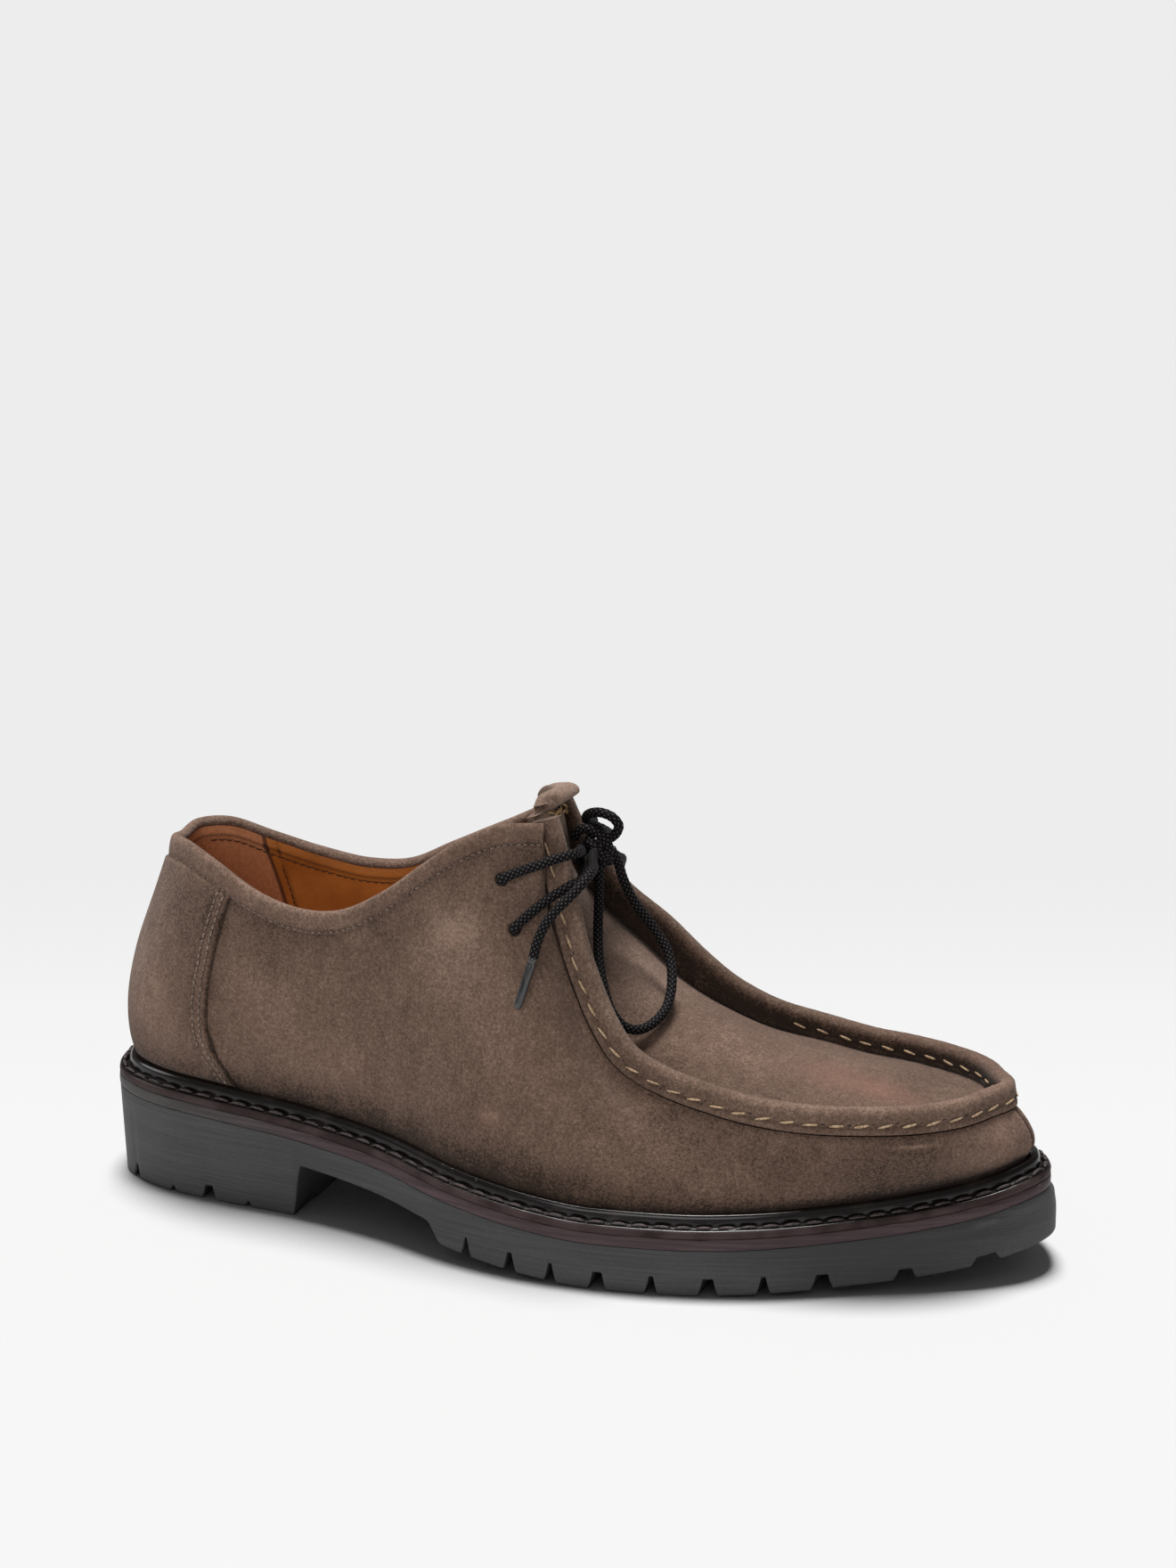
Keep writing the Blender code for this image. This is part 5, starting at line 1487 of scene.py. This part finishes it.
# Apron and its seam
def make_seam():
    """Raised seam: a folded strip over both leathers, with a lip below the stitches on each side. The crest
    and faces swell a little between stitches."""
    leg = table(APRON_SECTION)(CREST_SHARE)[0] * RIDGE_HEIGHT
    half = RIDGE_THICKNESS / 2
    run = run_of(CREST)
    share, lip, low = np.array(SEAM_OUTER + SEAM_INNER).T
    out = np.concatenate([share * half + lip * RIDGE_LIP, [-GAP, -GAP]])
    turn = len(SEAM_OUTER)
    bend = SEAM_OUTER[-1][-1]
    start = bend * RIDGE_HEIGHT
    down = np.empty((len(CREST), len(out)))
    down[:, :turn] = low[:turn] * RIDGE_HEIGHT
    down[:, turn:-2] = start + (low[turn:] - bend) / (1 - bend) * (leg[:, None] - start)
    down[:, -2] = leg
    down[:, -1] = RIDGE_HEIGHT
    swell = ridge(np.linspace(-1.2, 1.6, len(out)), 1.0)
    pucker = 1 + 0.035 * np.sin(run[:, None] * 2 * math.pi / PUCKER_PITCH) * swell
    grid = CREST[:, None] + CREST_OUT[:, None] * (out * pucker)[..., None]
    grid = grid - CREST_UP[:, None] * down[..., None]
    grid = grid + CREST_UP[:, None] * (0.00012 * ripple(grid, 0.016, 9))[..., None]
    # Lighter on the crest, partly wear and partly painted highlight; painted shade in the stitch channel,
    # over the medial side and on the lower inner face
    crest = ridge(down / RIDGE_HEIGHT, 0.32)
    channel = ridge(down / RIDGE_HEIGHT - 0.72, 0.07)
    toe = smoothstep(CREST_SHARE, 0.55, 1.0)[:, None]
    medial = smoothstep(np.arange(len(CREST)), TIP - 8, TIP + 30)[:, None]
    along = CREST_SHARE[:, None] * (1 - medial)
    shade = (0.18 - 0.10 * ridge(along - 0.42, 0.16)) * crest + 0.04 * crest * toe * (1 - medial)
    shade = shade - 0.14 * channel
    shade = shade + 0.05 * ripple(grid, 0.018, 10) - 0.14 * medial
    inner_face = smoothstep(out, -half * 0.55, -half * 0.95)
    shade = shade - 0.42 * inner_face * smoothstep(down / RIDGE_HEIGHT, 0.15, 0.5)
    marks = {"shade": shade, "warmth": 0.10 * crest * toe, "pit_shade": 0.0}
    strip = surface("seam_strip", grid, FINISH["suede"], (False, True), ends=True, marks=marks)
    own(strip, "suede", "apron_seam")
    outside = CREST + CREST_OUT * (half - 0.00005) - CREST_UP * RIDGE_HEIGHT * 0.655
    sew("seam_stitches", outside[4:-4], CREST_OUT[4:-4], BEIGE, "suede")
    toe_part = CREST_SHARE > 0.52
    inside = CREST - CREST_OUT * (half + 0.00002) - CREST_UP * (start + 0.48 * (leg[:, None] - start))
    sew("seam_inner_stitches", inside[toe_part], -CREST_OUT[toe_part], BEIGE, "suede")


def apron_rows(depth):
    """Face of the apron from the toe to the tongue's top, at a depth below it: each row runs from seam to
    seam, flat below the seam's legs and arched between them."""
    leg, crown = table(APRON_SECTION)(CREST_SHARE)
    leg = leg * RIDGE_HEIGHT
    near, far = np.arange(TIP - 1, -1, -1), np.arange(TIP + 1, 2 * TIP + 1)
    below = CREST - CREST_OUT * 3 * GAP - CREST_UP * (leg + GAP + depth)[:, None]
    ends = [below[near], below[far]]
    clear = [end - CREST_OUT[k] * RIDGE_THICKNESS / 2 for end, k in zip(ends, (near, far))]
    behind = np.linalg.norm((clear[0] + clear[1]) / 2 - CREST[TIP], axis=1)
    height = smoothstep(behind, 0.012, 0.040) * (crown[near] + crown[far]) / 2
    width = np.linalg.norm(clear[1] - clear[0], axis=1)
    across = np.linspace(-1, 1, 71)[None, :, None]
    chord = ((clear[0] + clear[1]) / 2)[:, None] + ((clear[1] - clear[0]) / 2)[:, None] * across
    up = unit(CREST_UP[near] + CREST_UP[far])
    middle = chord + up[:, None] * (1 - across**2) * (height * width)[:, None, None]
    return np.concatenate([ends[0][:, None], middle, ends[1][:, None]], axis=1), up


def make_apron():
    """Apron and tongue in one leather. Its top is rolled to a soft pad: half circles whose size falls towards
    both ends, with lumps."""
    (face, up), (back, _) = apron_rows(0.0), apron_rows(APRON_THICKNESS)
    step = unit(face[-1] - face[-4])
    step = unit(step + 2 * unit(step.mean(axis=0)))
    forward = up[-1]
    end, end_back = face[-1], back[-1]
    middle, middle_back = end.mean(axis=0), end_back.mean(axis=0)
    across = np.linspace(-1, 1, end.shape[0])
    lumps = 1 + 0.10 * np.sin(across * 5.0 + 0.8) + 0.05 * np.sin(across * 12.0)
    round_off = np.clip((abs(across) - 0.66) / 0.34, 0, 1)
    body = 0.42 + 0.58 * np.sqrt(1 - round_off**2 * 0.98)
    pull = (0.04 + 0.96 * np.clip(0.5 - across / 2, 0, 1))[:, None]
    rolled, rolled_back = [], []
    for share in 0.5 - 0.5 * np.cos(np.linspace(0, math.pi, 26)):
        swell = math.sqrt(max(0.0, 1 - (2 * share - 1) ** 2))
        narrow = pull * (0.16 * smoothstep(share, 0.0, 0.3) + 0.15 * swell)
        nod = np.array([TONGUE_NOD * smoothstep(share, 0.0, 0.4), 0, 0])
        reach = step * (0.16 + 0.80 * share * body * (0.92 + 0.08 * lumps))[:, None] * TONGUE_ROLL_HEIGHT
        out = forward * TONGUE_ROLL * (swell * body * lumps)[:, None]
        rolled.append(end + (middle - end) * narrow + reach + out + nod)
        out = -forward * 0.0008 * swell
        rolled_back.append(end_back + (middle_back - end_back) * narrow + reach + out + nod)
    outer, inner = np.concatenate([face, rolled]), np.concatenate([back, rolled_back])
    grid = np.concatenate([outer, inner[:, ::-1]], axis=1)
    depth = 0.00016 * ripple(grid, 0.020, 15)
    grid = grid + up.mean(axis=0) * depth[..., None]
    columns = face.shape[1]
    from_edge = 1 - abs(np.concatenate([across, across[::-1]]))
    # Painted shade along both sides beside the seam legs, plus the marks table and random tone
    shade = marked(grid, PLUG_RUBS_AND_HIGHLIGHT, 2) - 0.22 * ridge(from_edge, 0.07) + 0.05 * ripple(grid, 0.03, 16)
    warmth = np.clip(marked(grid, PLUG_RUBS_AND_HIGHLIGHT, 3), 0, 1)
    marks = {"shade": shade, "warmth": warmth, "pit_shade": 0.0}
    plug = surface("apron_tongue", grid, FINISH["suede"], (False, True), ends=True, marks=marks, crisp=70)
    own(plug, "suede", "apron")
    inside = slice(5, columns - 5)
    for kind, lift, phase in (("tongue_stitches_upper", 0.02, 41), ("tongue_stitches_lower", -0.18, 42)):
        path = (end + step * TONGUE_ROLL_HEIGHT * lift)[inside] + forward * 0.0005
        path = path + step[inside] * (0.0005 * np.sin(across[inside] * 9 + phase))[:, None]
        sew(kind, path, np.repeat(forward[None], len(path), axis=0), GOLD, "suede")


# Welt and sole
def make_welt():
    """Ledge with a rolled bead, as a closed profile round all stations. The ledge is slightly uneven."""
    bead_in = LEDGE_WIDTH + BEAD_WIDTH
    bead = spline([(LEDGE_WIDTH + inset * MM, height) for inset, height in BEAD_PROFILE], 5)
    bead = [(inset, height * BEAD_HEIGHT) for inset, height in bead]
    low = -WELT_THICKNESS - GAP * 0.8
    edge = [(0.0003, low), (0.0, low + 0.0002), (-0.0001, -WELT_THICKNESS * 0.5), (0.0001, -0.00045),
            (0.0004, -0.0001), (0.0008, 0.0), (0.0012, -0.00005), (0.0016, -0.0003), (0.0021, -0.00005)]
    profile = edge + bead + [(bead_in, low)]
    grid = np.array([ring(inset, height) for inset, height in profile])
    wobble = 0.00010 * ripple(grid, 0.010, 51) + 0.00005 * ripple(grid, 0.003, 52)
    top = np.array([[float(abs(height) < 0.5 * WELT_THICKNESS)] for _, height in profile])
    grid = grid + np.column_stack([OUTWARD, np.zeros(COUNT)]) * (wobble * top)[..., None]
    side = np.array([[float(inset < 0.0003 and height < -0.0002)] for inset, height in profile])
    rim = surface("welt_strip", grid, FINISH["welt_leather"], (True, True), marks={"side": side}, crisp=60)
    own(rim, "welt_leather", "welt")
    path = ring(0.00155, 0.0)
    path = np.vstack([path, path[:1]])
    sew("welt_stitches", path, np.tile((0.0, 0.0, 1.0), (len(path), 1)), BLACK, "welt_leather")


def notch_half(width):
    """Half width of a notch at its top."""
    return max(0.55 * width - 0.0005, 0.00018)


def notch_depth(x):
    """How far the tread's side notches rise above the ground line at x: straight flanks that flare below."""
    depth = np.zeros_like(x)
    for share, width, tall in HEEL_NOTCHES + FOREFOOT_NOTCHES:
        slope = np.clip(1 - (abs(x - share * LENGTH) - notch_half(width)) / NOTCH_SLOPE, 0, 1)
        depth = np.maximum(depth, tall * LUG_HEIGHT * slope**1.6)
    return depth


def sole_places():
    """Places along the sole, close together at its ends, at the notches and at the edges of the arch."""
    back, front = LATERAL_SIDE[0, 0], LATERAL_SIDE[-1, 0]
    places = [back + (0.5 - 0.5 * np.cos(np.linspace(0, math.pi, 190))) * (front - back)]
    for share, width, _ in HEEL_NOTCHES + FOREFOOT_NOTCHES:
        near = notch_half(width) + NOTCH_SLOPE * np.linspace(-0.12, 1.04, 9)
        places += [share * LENGTH + near, share * LENGTH - near]
    places.append(np.linspace(HEEL_LENGTH - 0.0005, HEEL_LENGTH + BREAST_SLANT + 0.0005, 9))
    places.append(np.linspace(TREAD_START - TREAD_SLANT - 0.0005, TREAD_START + 0.0005, 9))
    places = np.sort(np.concatenate(places))
    places = places[np.concatenate([[True], np.diff(places) > 0.00003])]
    inside = places[(places > back + 0.00001) & (places < front - 0.00001)]
    return np.concatenate([[back], inside, [front]])


def side_at(side, x):
    """Plan points and outward directions of one side at places x."""
    read = np.stack([np.interp(x, side[:, 0], side[:, i]) for i in range(4)], axis=1)
    return read[:, :2], unit(read[:, 2:])


def sole_layer(x, side_rows, bottom=None, across=2, top=None):
    """Closed sections of one layer at places x. side_rows are (outward offset, height) pairs from its top to
    its bottom; bottom and top give heights between both sides from the distance to the rim."""
    (near, near_out), (far, far_out) = side_at(LATERAL_SIDE, x), side_at(MEDIAL_SIDE, x)

    def sides(plan, out):
        rows = [(plan + out * np.reshape(offset, (-1, 1)), height) for offset, height in side_rows]
        return np.stack([np.column_stack(row) for row in rows], axis=1)

    left, right = sides(near, near_out), sides(far, far_out)
    share = np.linspace(0, 1, across + 2)[1:-1][None, :, None]

    def bridge(a, b, height):
        line = a[:, None] * (1 - share) + b[:, None] * share
        if height is not None:
            width = np.linalg.norm(b - a, axis=1)[:, None]
            rim = np.minimum(share[..., 0], 1 - share[..., 0]) * width
            line[..., 2] = height(line[..., 0], line[..., 1], rim, line[..., 2])
        return line

    floor = bridge(left[:, -1], right[:, -1], bottom)
    lid = bridge(right[:, 0], left[:, 0], top)
    return np.concatenate([left, floor, right[:, ::-1], lid], axis=1)


def tread(x, y, rim, edge):
    """Height of the tread inside its edge: the notches run in 12 mm, and shallow grooves cross the middle."""
    ground = np.where(x < (HEEL_LENGTH + TREAD_START) / 2, 0.0, rise(x))
    arch = edge > ground + LUG_HEIGHT + 0.0012
    inner = smoothstep(rim, LUG_EDGE_DEPTH - 0.0010, LUG_EDGE_DEPTH + 0.0012)
    groove = 0.0016 * ridge(np.mod(x + abs(y) * 0.35, 0.0125) - 0.006, 0.0016)
    lowered = ground + groove + 0.0018 * ridge(rim - 0.0145, 0.0012)
    return np.where(arch, edge, edge * (1 - inner) + lowered * inner)


def make_outsole():
    """Rubber unit: side rows down to an edge that follows the notches and the arch, and the tread between."""
    x = sole_places()
    ground = np.where(x < (HEEL_LENGTH + TREAD_START) / 2, 0.0, rise(x))
    plate = LEDGE_AT_BALL + RUBBER_TOP + rise(x)
    arch = smoothstep(x, HEEL_LENGTH, HEEL_LENGTH + BREAST_SLANT)
    arch = arch * smoothstep(x, TREAD_START, TREAD_START - TREAD_SLANT)
    low = ground + notch_depth(x) * (1 - arch)
    low = low + (plate - PLATE_THICKNESS - low) * arch
    taper = HEEL_TAPER * smoothstep(x, 0.45 * LENGTH, 0.20 * LENGTH)
    flare = toe_flare(x)
    lid = plate + GAP * 0.7
    rows = [(-0.0004, lid), (-0.0001, lid - 0.0001), (0.0, lid - 0.0003)]
    for share in (0.15, 0.3, 0.45, 0.6, 0.75, 0.88, 0.96):
        spread = np.minimum(1, 0.5 + share) * flare - taper * share
        rows.append((spread, plate + (low + 0.0007 - plate) * share))
    edge = flare - taper
    rows += [(edge, low + 0.0006), (edge - 0.0002, low + 0.0002), (edge - 0.0006, low)]
    grid = sole_layer(x, rows, tread, across=56)
    height = grid[..., 2] - ground[:, None]
    # Darker towards the toe and lighter at its tip; a painted highlight streak runs near the top of the
    # rubber at the toe
    shade = 0.26 * smoothstep(grid[..., 0], 0.28, 0.30) - 0.34 * ridge(grid[..., 0] - 0.256, 0.032) - 0.06
    shade = shade + 0.5 * ridge(height - 0.0128, 0.0006) * smoothstep(grid[..., 0], 0.255, 0.275)
    marks = {"shade": shade}
    sole = surface("rubber_sole", grid, FINISH["rubber"], (False, True), weld=True, marks=marks, crisp=42)
    own(sole, "rubber", "outsole")


def make_midsole():
    """Leather layer with softened edges and a slightly uneven face."""
    x = np.union1d(sole_places()[::2], LATERAL_SIDE[[0, -1], 0])
    top, low = MIDSOLE_TOP, RUBBER_TOP + GAP
    height = LEDGE_AT_BALL + rise(x)
    uneven = 0.00012 * np.sin(x * 420) * np.sin(x * 137 + 1)
    rows = [
        (-0.0002, height + top),
        (uneven, height + top - 0.0002),
        (uneven + 0.0001, height + (top + low) / 2),
        (uneven, height + low + 0.0003),
        (-0.0002, height + low),
    ]
    grid = sole_layer(x, rows)
    marks = {"heel": smoothstep(grid[..., 0], 0.10, 0.02)}
    layer = surface("leather_midsole", grid, FINISH["midsole_leather"], (False, True), weld=True, marks=marks)
    own(layer, "midsole_leather", "midsole")


def make_insole():
    """Insole with a shallow cup that rises towards its rim."""
    x = sole_places()[::2]
    inset = LEDGE_WIDTH + BEAD_WIDTH + WALL + 4 * GAP
    x = np.unique(np.clip(x, x[0] + inset, x[-1] - inset))
    base = LEDGE_AT_BALL + rise(x) + MIDSOLE_TOP + GAP
    full = base + INSOLE_THICKNESS
    rows = [(-inset - 0.0008, full), (-inset, full - 0.0008)]
    rows += [(-inset, base + 0.0005), (-inset - 0.0005, base)]

    def cup(_x, _y, rim, edge):
        return edge - 0.0012 * smoothstep(rim, 0.0, 0.014)

    grid = sole_layer(x, rows, top=cup, across=24)
    sock = surface("leather_sock", grid, FINISH["sock"], (False, True), weld=True)
    own(sock, "lining_leather", "insole")


# Studio
def make_studio():
    """Pale floor painted a little greyer behind the shoe, a painted falloff of light, a dim surround, a sun
    above and two fills.
    """
    side = np.array([-FLOOR_REACH, FLOOR_REACH])
    grid = np.stack(np.broadcast_arrays(side[None, :], side[:, None], 0.0), axis=-1)
    paint = Finish("floor_paint", roughness=0.9, specular_ior_level=0.1)
    a = math.radians(CAMERA_AZIMUTH)
    values = {0: paint.place, 1: (-math.sin(a), math.cos(a), 0)}
    ahead = paint.node("ShaderNodeVectorMath", {"operation": "DOT_PRODUCT"}, values, "Value")
    colour = paint.mix(ahead.band(*FLOOR_BEND), FLOOR_NEAR, FLOOR_FAR)
    floor = surface("floor", grid + (*CENTRE, 0), paint.surface(colour))
    if floor.data.polygons[0].normal.z < 0:
        floor.data.flip_normals()
    world = bpy.data.worlds.new("surround")
    bpy.context.scene.world = world
    world.use_nodes = True
    world.node_tree.nodes["Background"].inputs[0].default_value = (1, 1, 1, 1)
    world.node_tree.nodes["Background"].inputs[1].default_value = SURROUND
    unlit = bpy.data.collections.new("kept_from_fills")
    unlit.objects.link(floor)
    unlit.collection_objects[0].light_linking.link_state = "EXCLUDE"
    for name, kind, spot, size, power in LAMPS:
        lamp = bpy.data.objects.new(name, bpy.data.lights.new(name, kind))
        if kind == "SUN":
            lamp.data.angle = math.radians(size)
        else:
            lamp.data.size = size
            lamp.light_linking.receiver_collection = unlit
        lamp.data.energy = power
        lamp.location = spot
        lamp.rotation_mode = "QUATERNION"
        lamp.rotation_quaternion = (Vector((0, 0, 0.05)) - Vector(spot)).to_track_quat("-Z", "Y")
        bpy.context.scene.collection.objects.link(lamp)
    bpy.context.scene.view_settings.view_transform = "Standard"


make_camera()
make_laces()
make_upper()
make_lining()
make_binding()
make_counter()
make_seam()
make_apron()
make_welt()
make_outsole()
make_midsole()
make_insole()
make_studio()
